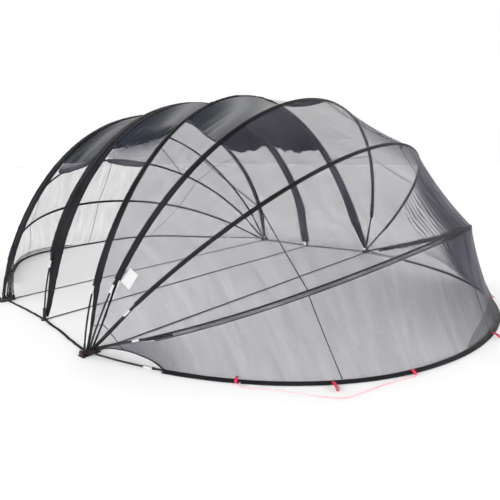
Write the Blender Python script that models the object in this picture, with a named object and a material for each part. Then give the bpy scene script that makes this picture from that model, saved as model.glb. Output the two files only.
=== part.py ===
"""Pool dome: a free-standing mesh and fabric cover on bent poles, with a fan of hoops at each end.

Three hoops stand over the middle of the dome. At each end four more hoops fan out from a pair of
pivot hubs, down to a hoop that lies on the ground. Units are metres, +Z up, +X towards the front fan,
and the origin is on the ground at the middle of the outline.
"""

from dataclasses import dataclass
from math import cos, exp, pi, radians, sin

import bmesh
import bpy
import numpy as np
from mathutils import Matrix, Vector

# Plan of the ground points
FRONT_HALF_SPAN = 2.50
MIDDLE_HALF_SPAN = 2.36
REAR_HALF_SPAN = 2.335
FRONT_TO_MIDDLE = 1.06
FRONT_TO_REAR = 2.00
FRONT_REACH = 2.42
REAR_REACH = 2.27

# How far the poles lean out towards their feet, and the height over which they do so
FRONT_SPLAY = 0.170
MIDDLE_SPLAY = 0.085
REAR_SPLAY = 0.185
REAR_HOOP_SPLAYS = (0.215, 0.270, 0.270)
SPLAY_HEIGHT = 0.70
REAR_GROUND_SPLAY = 0.600
REAR_GROUND_SETTLE = (1.05, 1.5)

# Poles, hubs and feet
POLE_RADIUS = 0.008
SLEEVE_BORE = 0.0084
PIVOT_HEIGHT = 0.032
PIN_RADIUS = 0.006
PIN_AXIS = (0, -1, 0)
EYE_BORE = 0.0065
EYE_RADIUS = 0.016
EYE_THICKNESS = 0.014
EYE_PITCH = 0.022
HUB_PLATE = (0.080, 0.160, 0.008)
CHEEK_THICKNESS = 0.010
CHEEK_LENGTH = 0.050
CHEEK_TOP = 0.056
CHEEK_OFFSET = 0.071
FOOT_RADIUS = 0.034
FOOT_THICKNESS = 0.008
SOCKET_RADIUS = 0.015
SOCKET_LENGTH = 0.085
SOCKET_BORE = 0.0094

# Fabric
PANEL_THICKNESS = 0.003
SEW_GAP = 0.0007
HEM_SEW_GAP = 0.0017
HEM_HEIGHT = 0.026
HEM_WIDTH = 0.060
HEM_AXIS = HEM_HEIGHT / 2
HEM_SETTLE = 0.25
LEG_INSET = 0.036
LEG_SPREAD = 0.012
HUB_END_INSET = 0.002
STRAP_WIDTH = 0.025
STRAP_BOTTOM = 0.003
STRAP_THICKNESS = 0.002
TOUCH_GAP = 0.0004
DOOR_ROLL_RADIUS = 0.026
DOOR_ROLL_INSET = 0.014
DOOR_ROLL_DROP = 2.0
ROOF_SAG = 0.03
WALL_CORNER_INSET = 0.095
WALL_BOTTOM = STRAP_BOTTOM + STRAP_THICKNESS + 0.0012
WALL_SAG = 0.02
FAN_CORNER = 0.14

# Where a pole ends, as a height above its pivot or its socket's floor
PIVOTED_LEG_START = 0.011
SOCKET_LEG_START = -0.001
SOCKET_FLOOR_GAP = 0.0013

# Steps along each hoop: bare leg, sleeve, bare leg
LEG_STEPS = 3
SLEEVE_STEPS = 20
HOOP_STEPS = 2 * LEG_STEPS + SLEEVE_STEPS
ROUND_SIDES = 6
FLAT_SHARE = cos(pi / ROUND_SIDES)
PANEL_COLUMNS = 3
LEAST_ROW = 0.15

# Places along a hoop, in degrees from its near foot, where the roof cloth and the walls end
ROOF_NEAR_EDGE = {"rear_arch": 44.0, "middle_arch": 48.2, "main_arch": 49.0}
ROOF_FAR_EDGE = 127.0
SHADE_NEAR_EDGE = 54.0
SHADE_FAR_EDGE = 93.0
PANEL_GAP = 0.1

# Guy ropes: each lies on the ground in front of the front hem, tied to it at both ends
ROPE_RADIUS = 0.003
ROPE_TIES = (30.5, 61.5)
ROPE_END_GAP = 0.0007
ROPE_LEAD = 0.04
ROPE_LEAD_HEIGHT = 0.008
ROPE_ROUTE = [
    (2.300, -2.095), (2.420, -2.018), (2.530, -1.965), (2.645, -1.915), (2.752, -1.866),
    (2.835, -1.820), (2.890, -1.760), (2.922, -1.685), (2.950, -1.600), (2.990, -1.480),
    (3.040, -1.360), (3.090, -1.265),
]
ROPE_POINTS = 60
CURVE_STEPS = 24

BLACK = (0.012, 0.012, 0.016, 1.0)
CHARCOAL = (0.030, 0.030, 0.042, 1.0)
SLATE = (0.055, 0.066, 0.078, 1.0)
MESH_GREY = (0.28, 0.27, 0.33, 1.0)
ROPE_PINK = (0.62, 0.22, 0.27, 1.0)


@dataclass(frozen=True)
class Hoop:
    """One bent pole from foot to foot, with the fabric sleeve along it."""

    name: str
    hub_x: float
    half_span: float
    splay: float
    rise: float
    lean: float
    shoulder: float
    spread: float
    twist: float
    sleeve_start: float
    sleeve_width: float
    sleeve_thickness: float = 0.022
    pivots: bool = True
    settle: tuple = (SPLAY_HEIGHT, 1.0)

    @property
    def on_ground(self):
        return abs(self.lean) == 90.0

    def point(self, t):
        """The pole's centre, t radians round from the near foot."""
        along = self.rise * sin(t) * (1 + self.shoulder * cos(t) ** 2)
        width = (self.half_span - self.splay) * (1 + self.spread * sin(t) ** 2)
        settled = exp(-((max(along, 0.0) / self.settle[0]) ** self.settle[1]))
        across = -cos(t) * (width + self.splay * settled)
        angle = radians(self.lean + self.twist * cos(t) ** 2)
        if self.on_ground:
            drop = (PIVOT_HEIGHT - HEM_AXIS) * exp(-along / HEM_SETTLE)
            return np.array([self.hub_x + along * sin(angle), across, HEM_AXIS + drop])
        return np.array(
            [self.hub_x + along * sin(angle), across, PIVOT_HEIGHT + along * cos(angle)]
        )

    def stations(self):
        """Angles of the rings along the pole: bare leg, sleeve, bare leg."""
        start = radians(self.sleeve_start)
        leg = PIVOTED_LEG_START if self.pivots else SOCKET_LEG_START
        first = leg / (self.rise * (1 + self.shoulder))
        lower = np.linspace(first, start, LEG_STEPS + 1)[:-1]
        middle = np.linspace(start, pi - start, SLEEVE_STEPS + 1)
        upper = pi - lower[::-1]
        return np.concatenate([lower, middle, upper])

    def frames(self):
        """Centre, outward direction and forward direction at each station."""
        angles = self.stations()
        small = 1e-4
        rows = []
        for t in angles:
            centre = self.point(t)
            tangent = self.point(t + small) - self.point(t - small)
            tangent /= np.linalg.norm(tangent)
            middle = np.array([self.hub_x, 0.0, PIVOT_HEIGHT])
            if self.on_ground:
                middle[2] = centre[2]
            outward = centre - middle
            outward -= outward.dot(tangent) * tangent
            outward /= np.linalg.norm(outward)
            rows.append((centre, outward, np.cross(tangent, outward)))
        return rows

    def station_of(self, degrees):
        """The place of an angle, as a fractional station number."""
        return float(np.interp(radians(degrees), self.stations(), np.arange(HOOP_STEPS + 1)))


FRONT_HUB_X = (FRONT_TO_REAR + REAR_REACH - FRONT_REACH) / 2
MIDDLE_FOOT_X = FRONT_HUB_X - FRONT_TO_MIDDLE
REAR_HUB_X = FRONT_HUB_X - FRONT_TO_REAR


def hub(place, front=True, splay=REAR_SPLAY):
    """Hub place, half span and splay of a hoop whose eye is at this place along the pivot pin."""
    if front:
        return FRONT_HUB_X, FRONT_HALF_SPAN + EYE_PITCH * place, FRONT_SPLAY
    return REAR_HUB_X, REAR_HALF_SPAN + EYE_PITCH * place, splay


# All the hoops in order from the rear of the dome to its front: hub, rise, lean, shoulder, spread,
# twist, sleeve start and sleeve width
HOOPS = [
    Hoop("rear_ground_hoop", *hub(1, False, REAR_GROUND_SPLAY), REAR_REACH, -90.0, 0.46, 0.0,
         0.0, 15.0, HEM_HEIGHT, HEM_WIDTH, settle=REAR_GROUND_SETTLE),
    Hoop("rear_hoop_3", *hub(-2, False, REAR_HOOP_SPLAYS[2]), 1.979, -67.1, -0.005, 0.042, 2.1,
         15.0, 0.040),
    Hoop("rear_hoop_2", *hub(-1, False, REAR_HOOP_SPLAYS[1]), 1.976, -41.4, -0.125, 0.055, 6.9,
         15.0, 0.045),
    Hoop("rear_hoop_1", *hub(0, False, REAR_HOOP_SPLAYS[0]), 2.024, -17.6, -0.144, 0.020, 0.0,
         15.0, 0.045),
    Hoop("rear_arch", *hub(2, False), 2.115, -1.6, -0.072, 0.035, 3.8, 12.0, 0.090),
    Hoop("middle_arch", MIDDLE_FOOT_X, MIDDLE_HALF_SPAN, MIDDLE_SPLAY, 2.218, -3.7, -0.121,
         0.024, 1.1, 18.4, 0.150, pivots=False),
    Hoop("main_arch", *hub(2), 2.25, -8.5, -0.217, 0.031, -1.8, 17.0, 0.075),
    Hoop("front_hoop_1", *hub(0), 2.207, 16.4, -0.093, 0.030, -2.4, 17.5, 0.050),
    Hoop("front_hoop_2", *hub(-1), 2.207, 41.6, -0.076, 0.030, 1.1, 16.1, 0.040),
    Hoop("front_hoop_3", *hub(-2), 2.296, 67.1, -0.158, 0.019, 4.6, 17.1, 0.060),
    Hoop("front_ground_hoop", *hub(1), FRONT_REACH, 90.0, 0.044, 0.024, 0.0, 16.6,
         HEM_HEIGHT, HEM_WIDTH),
]
BY_NAME = {hoop.name: hoop for hoop in HOOPS}


def clear_scene():
    for item in list(bpy.data.objects):
        bpy.data.objects.remove(item, do_unlink=True)


def material(name, colour, roughness, metallic=0.0):
    """A Principled material, made once for each name."""
    found = bpy.data.materials.get(name)
    if found:
        return found
    made = bpy.data.materials.new(name)
    made.use_nodes = True
    shader = made.node_tree.nodes["Principled BSDF"]
    shader.inputs["Base Color"].default_value = colour
    shader.inputs["Roughness"].default_value = roughness
    shader.inputs["Metallic"].default_value = metallic
    return made


def pole_material():
    return material("pole", BLACK, 0.35)


def hub_material():
    return material("hub", BLACK, 0.45)


def sleeve_material():
    return material("sleeve", CHARCOAL, 0.75)


def roof_material():
    return material("roof_cloth", SLATE, 0.6)


def mesh_material():
    return material("mesh_cloth", MESH_GREY, 0.85)


def strap_material():
    return material("webbing", BLACK, 0.8)


def rope_material():
    return material("rope", ROPE_PINK, 0.7)


def add_object(name, mesh, finish):
    """A new object at the origin, with its place in its mesh."""
    mesh.materials.append(finish)
    item = bpy.data.objects.new(name, mesh)
    bpy.context.scene.collection.objects.link(item)
    return item


def mesh_from(name, points, faces):
    """A mesh whose faces are turned to point outwards."""
    mesh = bpy.data.meshes.new(name)
    mesh.from_pydata([tuple(map(float, point)) for point in points], [], faces)
    work = bmesh.new()
    work.from_mesh(mesh)
    bmesh.ops.recalc_face_normals(work, faces=work.faces[:])
    work.to_mesh(mesh)
    work.free()
    return mesh


def shade_round(item):
    item.data.shade_smooth()
    item.data.set_sharp_from_angle(angle=radians(40))


def oval_ring(frame, half_width, half_thickness):
    """Points round a pole: half_width along the cloth, half_thickness out from it."""
    centre, outward, forward = frame
    turn = 2 * pi / ROUND_SIDES
    return [
        centre
        + forward * half_width * cos(turn * side)
        + outward * half_thickness * sin(turn * side)
        for side in range(ROUND_SIDES)
    ]


def band_faces(rows, first=0):
    """Quads between successive rings of ROUND_SIDES points, numbered from first."""
    faces = []
    for row in range(rows - 1):
        for side in range(ROUND_SIDES):
            after = (side + 1) % ROUND_SIDES
            low = first + row * ROUND_SIDES
            high = low + ROUND_SIDES
            faces.append((low + side, low + after, high + after, high + side))
    return faces


def solid_rod(name, rings):
    """A closed rod through rings of points."""
    points = [point for ring in rings for point in ring]
    last = (len(rings) - 1) * ROUND_SIDES
    faces = band_faces(len(rings))
    faces.append(tuple(range(ROUND_SIDES))[::-1])
    faces.append(tuple(last + side for side in range(ROUND_SIDES)))
    return mesh_from(name, points, faces)


def hollow_sleeve(name, outer, inner):
    """A closed tube between outer and inner rings, open at both ends."""
    rows = len(outer)
    points = [point for ring in outer + inner for point in ring]
    inside = rows * ROUND_SIDES
    faces = band_faces(rows) + band_faces(rows, inside)
    for row in (0, rows - 1):
        for side in range(ROUND_SIDES):
            after = (side + 1) % ROUND_SIDES
            low = row * ROUND_SIDES
            faces.append((low + side, low + after, inside + low + after, inside + low + side))
    return mesh_from(name, points, faces)


def joined(base, extras, operation="UNION"):
    """The base object with each extra solid joined on or cut out, as one closed mesh."""
    for extra in extras:
        cut = base.modifiers.new(extra.name, "BOOLEAN")
        cut.operation = operation
        cut.object = extra
    bpy.context.view_layer.update()
    graph = bpy.context.evaluated_depsgraph_get()
    result = bpy.data.meshes.new_from_object(base.evaluated_get(graph))
    base.modifiers.clear()
    base.data = result
    for extra in extras:
        bpy.data.objects.remove(extra, do_unlink=True)
    return base


def primitive_cylinder(name, radius, length, centre, along=(0, 0, 1), sides=12):
    """A cylinder object about its centre, with its axis in the given direction."""
    work = bmesh.new()
    turn = Vector((0, 0, 1)).rotation_difference(Vector(along)).to_matrix().to_4x4()
    bmesh.ops.create_cone(
        work, cap_ends=True, segments=sides, radius1=radius, radius2=radius, depth=length,
        matrix=Matrix.Translation(Vector(centre)) @ turn,
    )
    mesh = bpy.data.meshes.new(name)
    work.to_mesh(mesh)
    work.free()
    return add_object(name, mesh, hub_material())


def primitive_box(name, size, centre, finish):
    """A box object about its centre."""
    work = bmesh.new()
    bmesh.ops.create_cube(
        work, size=1.0,
        matrix=Matrix.Translation(Vector(centre)) @ Matrix.Diagonal((*size, 1.0)),
    )
    mesh = bpy.data.meshes.new(name)
    work.to_mesh(mesh)
    work.free()
    return add_object(name, mesh, finish)


def make_pole(hoop):
    """The bent pole, with a flat eye for the pivot pin at each end if the hoop has pivots."""
    rings = [oval_ring(frame, POLE_RADIUS, POLE_RADIUS) for frame in hoop.frames()]
    name = f"{hoop.name}_pole"
    pole = add_object(name, solid_rod(name, rings), pole_material())
    if hoop.pivots:
        eyes, bores = [], []
        for side in (-1, 1):
            centre = (hoop.hub_x, side * hoop.half_span, PIVOT_HEIGHT)
            eyes.append(primitive_cylinder("eye", EYE_RADIUS, EYE_THICKNESS, centre, PIN_AXIS))
            bores.append(
                primitive_cylinder("bore", EYE_BORE, 3 * EYE_THICKNESS, centre, PIN_AXIS)
            )
        pole = joined(pole, eyes)
        pole = joined(pole, bores, "DIFFERENCE")
    shade_round(pole)
    return pole


def make_sleeve(hoop):
    """The cloth sleeve or hem that the pole runs through."""
    frames = hoop.frames()[LEG_STEPS : LEG_STEPS + SLEEVE_STEPS + 1]
    half_width = hoop.sleeve_width / 2
    half_thickness = hoop.sleeve_thickness / 2
    outer = [oval_ring(frame, half_width, half_thickness) for frame in frames]
    inner = [oval_ring(frame, SLEEVE_BORE, SLEEVE_BORE) for frame in frames]
    name = f"{hoop.name}_hem" if hoop.on_ground else f"{hoop.name}_sleeve"
    sleeve = add_object(name, hollow_sleeve(name, outer, inner), sleeve_material())
    shade_round(sleeve)
    return sleeve


def cloth_edge(hoop, station, side):
    """Where the cloth beside a hoop begins, at a fractional station: on the sleeve's front side
    (side 1) or rear side (side -1), and along a straight line to the hub below the sleeve."""
    frames = hoop.frames()
    first, last = LEG_STEPS, LEG_STEPS + SLEEVE_STEPS
    gap = HEM_SEW_GAP if hoop.on_ground else SEW_GAP

    def sewn(index):
        centre, outward, forward = frames[index]
        return centre + side * forward * (hoop.sleeve_width / 2 + gap)

    if first <= station <= last:
        low = min(int(station), last - 1)
        share = station - low
        return sewn(low) * (1 - share) + sewn(low + 1) * share
    end = first if station < first else last
    foot = 0 if station < first else HOOP_STEPS
    share = abs(station - foot) / LEG_STEPS
    hub = frames[foot][0]
    centre, outward, forward = frames[end]
    sleeve_end = centre - outward * LEG_INSET + side * forward * LEG_SPREAD
    low_end = hub - frames[foot][1] * LEG_INSET + side * frames[foot][2] * HUB_END_INSET
    return low_end * (1 - share) + sleeve_end * share


def panel_rows(rear_range, front_range):
    """Pairs of stations on the two hoops of a bay, one pair for each row of the panel."""
    low = max(rear_range[0], front_range[0])
    high = min(rear_range[1], front_range[1])
    rows = [(rear_range[0], front_range[0])]
    for step in range(HOOP_STEPS + 1):
        if low + LEAST_ROW < step < high - LEAST_ROW:
            rows.append((float(step), float(step)))
    rows.append((rear_range[1], front_range[1]))
    return rows


def panel_grid(rear_hoop, front_hoop, rows, sag):
    """Points across a bay, drawn in towards the dome's middle between its two hoops."""
    grid = []
    for rear_station, front_station in rows:
        left = cloth_edge(rear_hoop, rear_station, 1)
        right = cloth_edge(front_hoop, front_station, -1)
        inward = np.array([(rear_hoop.hub_x + front_hoop.hub_x) / 2, 0.0, PIVOT_HEIGHT])
        inward = inward - (left + right) / 2
        inward /= np.linalg.norm(inward)
        depth = sag * np.linalg.norm(right - left)
        line = []
        for column in range(PANEL_COLUMNS + 1):
            share = column / PANEL_COLUMNS
            point = left * (1 - share) + right * share
            line.append(point + inward * depth * 4 * share * (1 - share))
        grid.append(line)
    return grid


def make_panel(name, grid, finish):
    """A thin sheet through a grid of points, given its thickness about the middle."""
    columns = len(grid[0])
    points = [point for line in grid for point in line]
    faces = []
    for row in range(len(grid) - 1):
        for column in range(columns - 1):
            low = row * columns + column
            faces.append((low, low + 1, low + 1 + columns, low + columns))
    mesh = bpy.data.meshes.new(name)
    mesh.from_pydata([tuple(map(float, point)) for point in points], [], faces)
    item = add_object(name, mesh, finish)
    mesh.shade_smooth()
    thicken = item.modifiers.new("Thickness", "SOLIDIFY")
    thicken.thickness = PANEL_THICKNESS
    thicken.offset = 0.0
    return item


def bay_panel(name, rear_name, front_name, start, end, finish, sag=ROOF_SAG):
    """A panel between two neighbouring hoops, from start to end degrees on each of them."""
    rear_hoop, front_hoop = BY_NAME[rear_name], BY_NAME[front_name]
    rows = panel_rows(
        (rear_hoop.station_of(start[0]), rear_hoop.station_of(end[0])),
        (front_hoop.station_of(start[1]), front_hoop.station_of(end[1])),
    )
    return make_panel(name, panel_grid(rear_hoop, front_hoop, rows, sag), finish)


def fan_ends(hoop):
    """The angles, in degrees, where a fan's cloth stops short of the hubs."""
    low = np.degrees(FAN_CORNER / (hoop.rise * (1 + hoop.shoulder)))
    return low, 180.0 - low


def make_fan_panel(name, rear_name, front_name):
    """A mesh gore of a fan, from hub to hub."""
    low_rear, high_rear = fan_ends(BY_NAME[rear_name])
    low_front, high_front = fan_ends(BY_NAME[front_name])
    return bay_panel(
        name, rear_name, front_name, (low_rear, low_front), (high_rear, high_front),
        mesh_material(),
    )


def make_far_wall(name, rear_name, front_name):
    """A mesh wall on the far side, from the roof's edge down to the ground."""
    rear_hoop, front_hoop = BY_NAME[rear_name], BY_NAME[front_name]
    last = LEG_STEPS + SLEEVE_STEPS
    top = ROOF_FAR_EDGE + PANEL_GAP
    rows = panel_rows(
        (rear_hoop.station_of(top), float(last)), (front_hoop.station_of(top), float(last))
    )
    grid = panel_grid(rear_hoop, front_hoop, rows, WALL_SAG)
    left = rear_hoop.frames()[HOOP_STEPS][0]
    right = front_hoop.frames()[HOOP_STEPS][0]
    inset = (right - left) / np.linalg.norm(right - left) * WALL_CORNER_INSET
    ground = []
    for column in range(PANEL_COLUMNS + 1):
        share = column / PANEL_COLUMNS
        point = (left + inset) * (1 - share) + (right - inset) * share
        point[2] = WALL_BOTTOM
        ground.append(point)
    grid.append(ground)
    return make_panel(name, grid, mesh_material())


def make_door_roll(name, rear_name, front_name):
    """A door rolled up and tied under the roof's near edge, between two arches."""
    rear_hoop, front_hoop = BY_NAME[rear_name], BY_NAME[front_name]
    edges = [
        panel_grid(
            rear_hoop, front_hoop,
            [(
                rear_hoop.station_of(ROOF_NEAR_EDGE[rear_name] - drop),
                front_hoop.station_of(ROOF_NEAR_EDGE[front_name] - drop),
            )],
            ROOF_SAG,
        )[0]
        for drop in (0.0, DOOR_ROLL_DROP)
    ]
    steps = len(edges[0]) - 1
    run = edges[0][steps] - edges[0][0]
    run /= np.linalg.norm(run)
    rings = []
    for step in range(steps + 1):
        edge = edges[0][step]
        down = edges[1][step] - edge
        down -= down.dot(run) * run
        down /= np.linalg.norm(down)
        centre = edge + down * (DOOR_ROLL_RADIUS * FLAT_SHARE + TOUCH_GAP)
        if step in (0, steps):
            centre += run * DOOR_ROLL_INSET * (1 if step == 0 else -1)
        rings.append(
            oval_ring((centre, down, np.cross(run, down)), DOOR_ROLL_RADIUS, DOOR_ROLL_RADIUS)
        )
    roll = add_object(name, solid_rod(name, rings), mesh_material())
    shade_round(roll)
    return roll


def make_hub(name, hub_x, centre_y):
    """A ground plate with two cheeks and the pivot pin that the eyes of the poles turn on."""
    plate = primitive_box(
        name, HUB_PLATE, (hub_x, centre_y, HUB_PLATE[2] / 2), hub_material()
    )
    cheek_height = CHEEK_TOP - HUB_PLATE[2] / 2
    extras = []
    for side in (-1, 1):
        centre = (hub_x, centre_y + side * CHEEK_OFFSET, CHEEK_TOP - cheek_height / 2)
        size = (CHEEK_LENGTH, CHEEK_THICKNESS, cheek_height)
        extras.append(primitive_box("cheek", size, centre, hub_material()))
    pin_length = 2 * CHEEK_OFFSET
    pin_centre = (hub_x, centre_y, PIVOT_HEIGHT)
    extras.append(primitive_cylinder("pin", PIN_RADIUS, pin_length, pin_centre, PIN_AXIS))
    return joined(plate, extras)


def make_foot(name, foot_x, centre_y):
    """A round foot with a tall socket that the middle arch's pole stands in, along the pole."""
    foot = primitive_cylinder(
        name, FOOT_RADIUS, FOOT_THICKNESS, (foot_x, centre_y, FOOT_THICKNESS / 2), sides=24
    )
    frames = BY_NAME["middle_arch"].frames()
    ends = frames[:2] if centre_y < 0 else frames[: -3 : -1]
    pole_end = ends[0][0]
    along = ends[1][0] - pole_end
    along /= np.linalg.norm(along)
    root = (pole_end[2] - FOOT_THICKNESS / 2) / along[2]
    socket = primitive_cylinder(
        "socket", SOCKET_RADIUS, SOCKET_LENGTH + root,
        pole_end + along * (SOCKET_LENGTH - root) / 2, along,
    )
    foot = joined(foot, [socket])
    bore = primitive_cylinder(
        "bore", SOCKET_BORE, 2 * SOCKET_LENGTH + SOCKET_FLOOR_GAP,
        pole_end + along * (2 * SOCKET_LENGTH - SOCKET_FLOOR_GAP) / 2, along,
    )
    return joined(foot, [bore], "DIFFERENCE")


def strap_piece(name, start, end):
    """A flat strap on the ground between two points, its ends cut square to the X or Y axis."""
    start, end = np.array(start), np.array(end)
    along = end - start
    lengthwise = abs(along[0]) > abs(along[1])
    across = np.array([0.0, 1.0, 0.0] if lengthwise else [1.0, 0.0, 0.0]) * STRAP_WIDTH / 2
    up = np.array([0.0, 0.0, STRAP_THICKNESS])
    points = []
    for corner in (start - across, start + across, end + across, end - across):
        points += [corner, corner + up]
    faces = [(0, 6, 4, 2), (1, 3, 5, 7), (0, 2, 3, 1), (2, 4, 5, 3), (4, 6, 7, 5), (6, 0, 1, 7)]
    return add_object(name, mesh_from(name, points, faces), strap_material())


def make_cross_strap(name, foot_x, half_span, foot_size):
    """A strap on the ground across the dome, between the two feet of one arch."""
    reach = half_span - foot_size - TOUCH_GAP
    return strap_piece(name, (foot_x, -reach, STRAP_BOTTOM), (foot_x, reach, STRAP_BOTTOM))


def make_side_straps(side):
    """The straps along one side, from rear hub to middle foot to front hub."""
    tag = "near" if side < 0 else "far"
    half_plate = HUB_PLATE[0] / 2
    rear_start = REAR_HUB_X + half_plate + TOUCH_GAP
    front_end = FRONT_HUB_X - half_plate - TOUCH_GAP
    foot = np.array([MIDDLE_FOOT_X, side * MIDDLE_HALF_SPAN])
    rear_point = np.array([rear_start, side * REAR_HALF_SPAN])
    front_point = np.array([front_end, side * FRONT_HALF_SPAN])
    clear = FOOT_RADIUS + TOUCH_GAP
    rear_end = foot + (rear_point - foot) / np.linalg.norm(rear_point - foot) * clear
    front_start = foot + (front_point - foot) / np.linalg.norm(front_point - foot) * clear
    strap_piece(f"side_strap_rear_{tag}", (*rear_point, STRAP_BOTTOM), (*rear_end, STRAP_BOTTOM))
    strap_piece(
        f"side_strap_front_{tag}", (*front_start, STRAP_BOTTOM), (*front_point, STRAP_BOTTOM)
    )


def smooth_route(points, count):
    """Evenly spaced points on a smooth curve through the given ones."""
    points = np.array(points)
    ends = [2 * points[0] - points[1], *points, 2 * points[-1] - points[-2]]
    fine = []
    for before, start, end, after in zip(ends, ends[1:], ends[2:], ends[3:]):
        for u in np.linspace(0, 1, CURVE_STEPS, endpoint=False):
            fine.append(0.5 * (
                2 * start + (end - before) * u
                + (2 * before - 5 * start + 4 * end - after) * u**2
                + (3 * start - before - 3 * end + after) * u**3
            ))
    fine = np.array([*fine, points[-1]])
    along = np.concatenate([[0], np.cumsum(np.linalg.norm(np.diff(fine, axis=0), axis=1))])
    even = np.linspace(0, along[-1], count)
    return np.stack([np.interp(even, along, fine[:, axis]) for axis in range(3)], axis=1)


def rope_tie(degrees):
    """Where a guy rope meets the front hem's outer side, and a point straight out from there."""
    hoop = BY_NAME["front_ground_hoop"]
    station = hoop.station_of(degrees)
    low = int(station)
    share = station - low
    frames = hoop.frames()
    centre = frames[low][0] * (1 - share) + frames[low + 1][0] * share
    outward = frames[low][1] * (1 - share) + frames[low + 1][1] * share
    tie = centre + outward * (HEM_WIDTH / 2 * FLAT_SHARE + ROPE_END_GAP)
    lead = tie + outward * ROPE_LEAD
    lead[2] = ROPE_LEAD_HEIGHT
    return tie, lead


def make_guy_rope(name, side):
    """A loose rope lying on the ground from one tie on the hem to the next but one."""
    height = ROPE_RADIUS + TOUCH_GAP
    first_tie, first_lead = rope_tie(ROPE_TIES[0])
    last_tie, last_lead = rope_tie(ROPE_TIES[1])
    on_ground = [np.array([x, y, height]) for x, y in ROPE_ROUTE]
    route = [first_tie, first_lead, *on_ground, last_lead, last_tie]
    curve = bpy.data.curves.new(name, "CURVE")
    curve.dimensions = "3D"
    curve.bevel_depth = ROPE_RADIUS
    curve.bevel_resolution = 2
    curve.use_fill_caps = True
    spline = curve.splines.new("POLY")
    points = smooth_route(route, ROPE_POINTS)
    spline.points.add(len(points) - 1)
    for place, point in zip(spline.points, points):
        place.co = (point[0], point[1] * -side, point[2], 1.0)
    return add_object(name, curve, rope_material())


def make_front_gore_1():
    """The bay in front of the main arch: mesh on both sides of a shade panel."""
    bay = ("main_arch", "front_hoop_1")
    low_main, high_main = fan_ends(BY_NAME["main_arch"])
    low_first, high_first = fan_ends(BY_NAME["front_hoop_1"])
    near_edge = (SHADE_NEAR_EDGE, SHADE_NEAR_EDGE)
    far_edge = (SHADE_FAR_EDGE, SHADE_FAR_EDGE)
    below = (SHADE_NEAR_EDGE - PANEL_GAP, SHADE_NEAR_EDGE - PANEL_GAP)
    beyond = (SHADE_FAR_EDGE + PANEL_GAP, SHADE_FAR_EDGE + PANEL_GAP)
    bay_panel("front_gore_1_near", *bay, (low_main, low_first), below, mesh_material())
    bay_panel("front_gore_1_shade", *bay, near_edge, far_edge, roof_material())
    bay_panel("front_gore_1_far", *bay, beyond, (high_main, high_first), mesh_material())


def main():
    clear_scene()
    for hoop in HOOPS:
        make_pole(hoop)
        make_sleeve(hoop)
    for side, tag in ((-1, "near"), (1, "far")):
        make_hub(f"front_hub_{tag}", FRONT_HUB_X, side * FRONT_HALF_SPAN)
        make_hub(f"rear_hub_{tag}", REAR_HUB_X, side * REAR_HALF_SPAN)
        make_foot(f"middle_foot_{tag}", MIDDLE_FOOT_X, side * MIDDLE_HALF_SPAN)
        make_side_straps(side)
        make_guy_rope(f"guy_rope_{tag}", side)

    roof_end = (ROOF_FAR_EDGE, ROOF_FAR_EDGE)
    bays = (("rear", "rear_arch", "middle_arch"), ("front", "middle_arch", "main_arch"))
    for place, rear_name, front_name in bays:
        roof_start = (ROOF_NEAR_EDGE[rear_name], ROOF_NEAR_EDGE[front_name])
        bay_panel(
            f"{place}_roof", rear_name, front_name, roof_start, roof_end, roof_material()
        )
        make_far_wall(f"{place}_wall_far", rear_name, front_name)
        make_door_roll(f"{place}_door_roll", rear_name, front_name)

    make_front_gore_1()
    make_fan_panel("front_gore_2", "front_hoop_1", "front_hoop_2")
    make_fan_panel("front_gore_3", "front_hoop_2", "front_hoop_3")
    make_fan_panel("front_gore_4", "front_hoop_3", "front_ground_hoop")
    make_fan_panel("rear_gore_1", "rear_hoop_1", "rear_arch")
    make_fan_panel("rear_gore_2", "rear_hoop_2", "rear_hoop_1")
    make_fan_panel("rear_gore_3", "rear_hoop_3", "rear_hoop_2")
    make_fan_panel("rear_gore_4", "rear_ground_hoop", "rear_hoop_3")

    half_plate = HUB_PLATE[1] / 2
    make_cross_strap("cross_strap_front", FRONT_HUB_X, FRONT_HALF_SPAN, half_plate)
    make_cross_strap("cross_strap_middle", MIDDLE_FOOT_X, MIDDLE_HALF_SPAN, FOOT_RADIUS)
    make_cross_strap("cross_strap_rear", REAR_HUB_X, REAR_HALF_SPAN, half_plate)


main()
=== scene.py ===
"""Pool dome, dressed: net, cloth, bent poles, hubs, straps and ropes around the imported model.

Units are metres, +Z up, +X towards the front fan, +Y towards the side with the closed walls. The
origin is on the ground at the middle of the outline. A place along a hoop is written in two ways: as
an angle t from its near foot (0 to pi), and as a run q (0 to 1 near leg, 1 to 2 sleeve, 2 to 3 far
leg), so that the same q on two neighbouring hoops joins matching places.
"""

from __future__ import annotations

import logging
import math
from dataclasses import dataclass
from enum import Enum

import bmesh
import bpy
import numpy as np
from mathutils import Matrix, Vector


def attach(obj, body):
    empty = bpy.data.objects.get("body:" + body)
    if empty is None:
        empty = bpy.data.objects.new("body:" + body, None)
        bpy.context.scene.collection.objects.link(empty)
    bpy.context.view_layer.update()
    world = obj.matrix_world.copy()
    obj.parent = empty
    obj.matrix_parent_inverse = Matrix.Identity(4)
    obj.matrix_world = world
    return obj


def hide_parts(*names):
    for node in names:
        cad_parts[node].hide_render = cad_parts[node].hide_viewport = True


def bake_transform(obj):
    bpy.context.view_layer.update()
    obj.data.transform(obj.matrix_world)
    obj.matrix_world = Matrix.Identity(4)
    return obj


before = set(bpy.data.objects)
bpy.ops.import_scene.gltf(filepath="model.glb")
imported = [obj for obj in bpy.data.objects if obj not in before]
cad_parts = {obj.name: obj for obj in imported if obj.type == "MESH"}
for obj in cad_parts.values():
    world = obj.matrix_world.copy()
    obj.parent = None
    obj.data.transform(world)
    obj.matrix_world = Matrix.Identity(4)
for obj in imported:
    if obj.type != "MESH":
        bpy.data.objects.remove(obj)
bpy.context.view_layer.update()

LOG = logging.getLogger("pool_dome")
CLOSENESS = "closeness"
Array = np.ndarray
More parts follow.
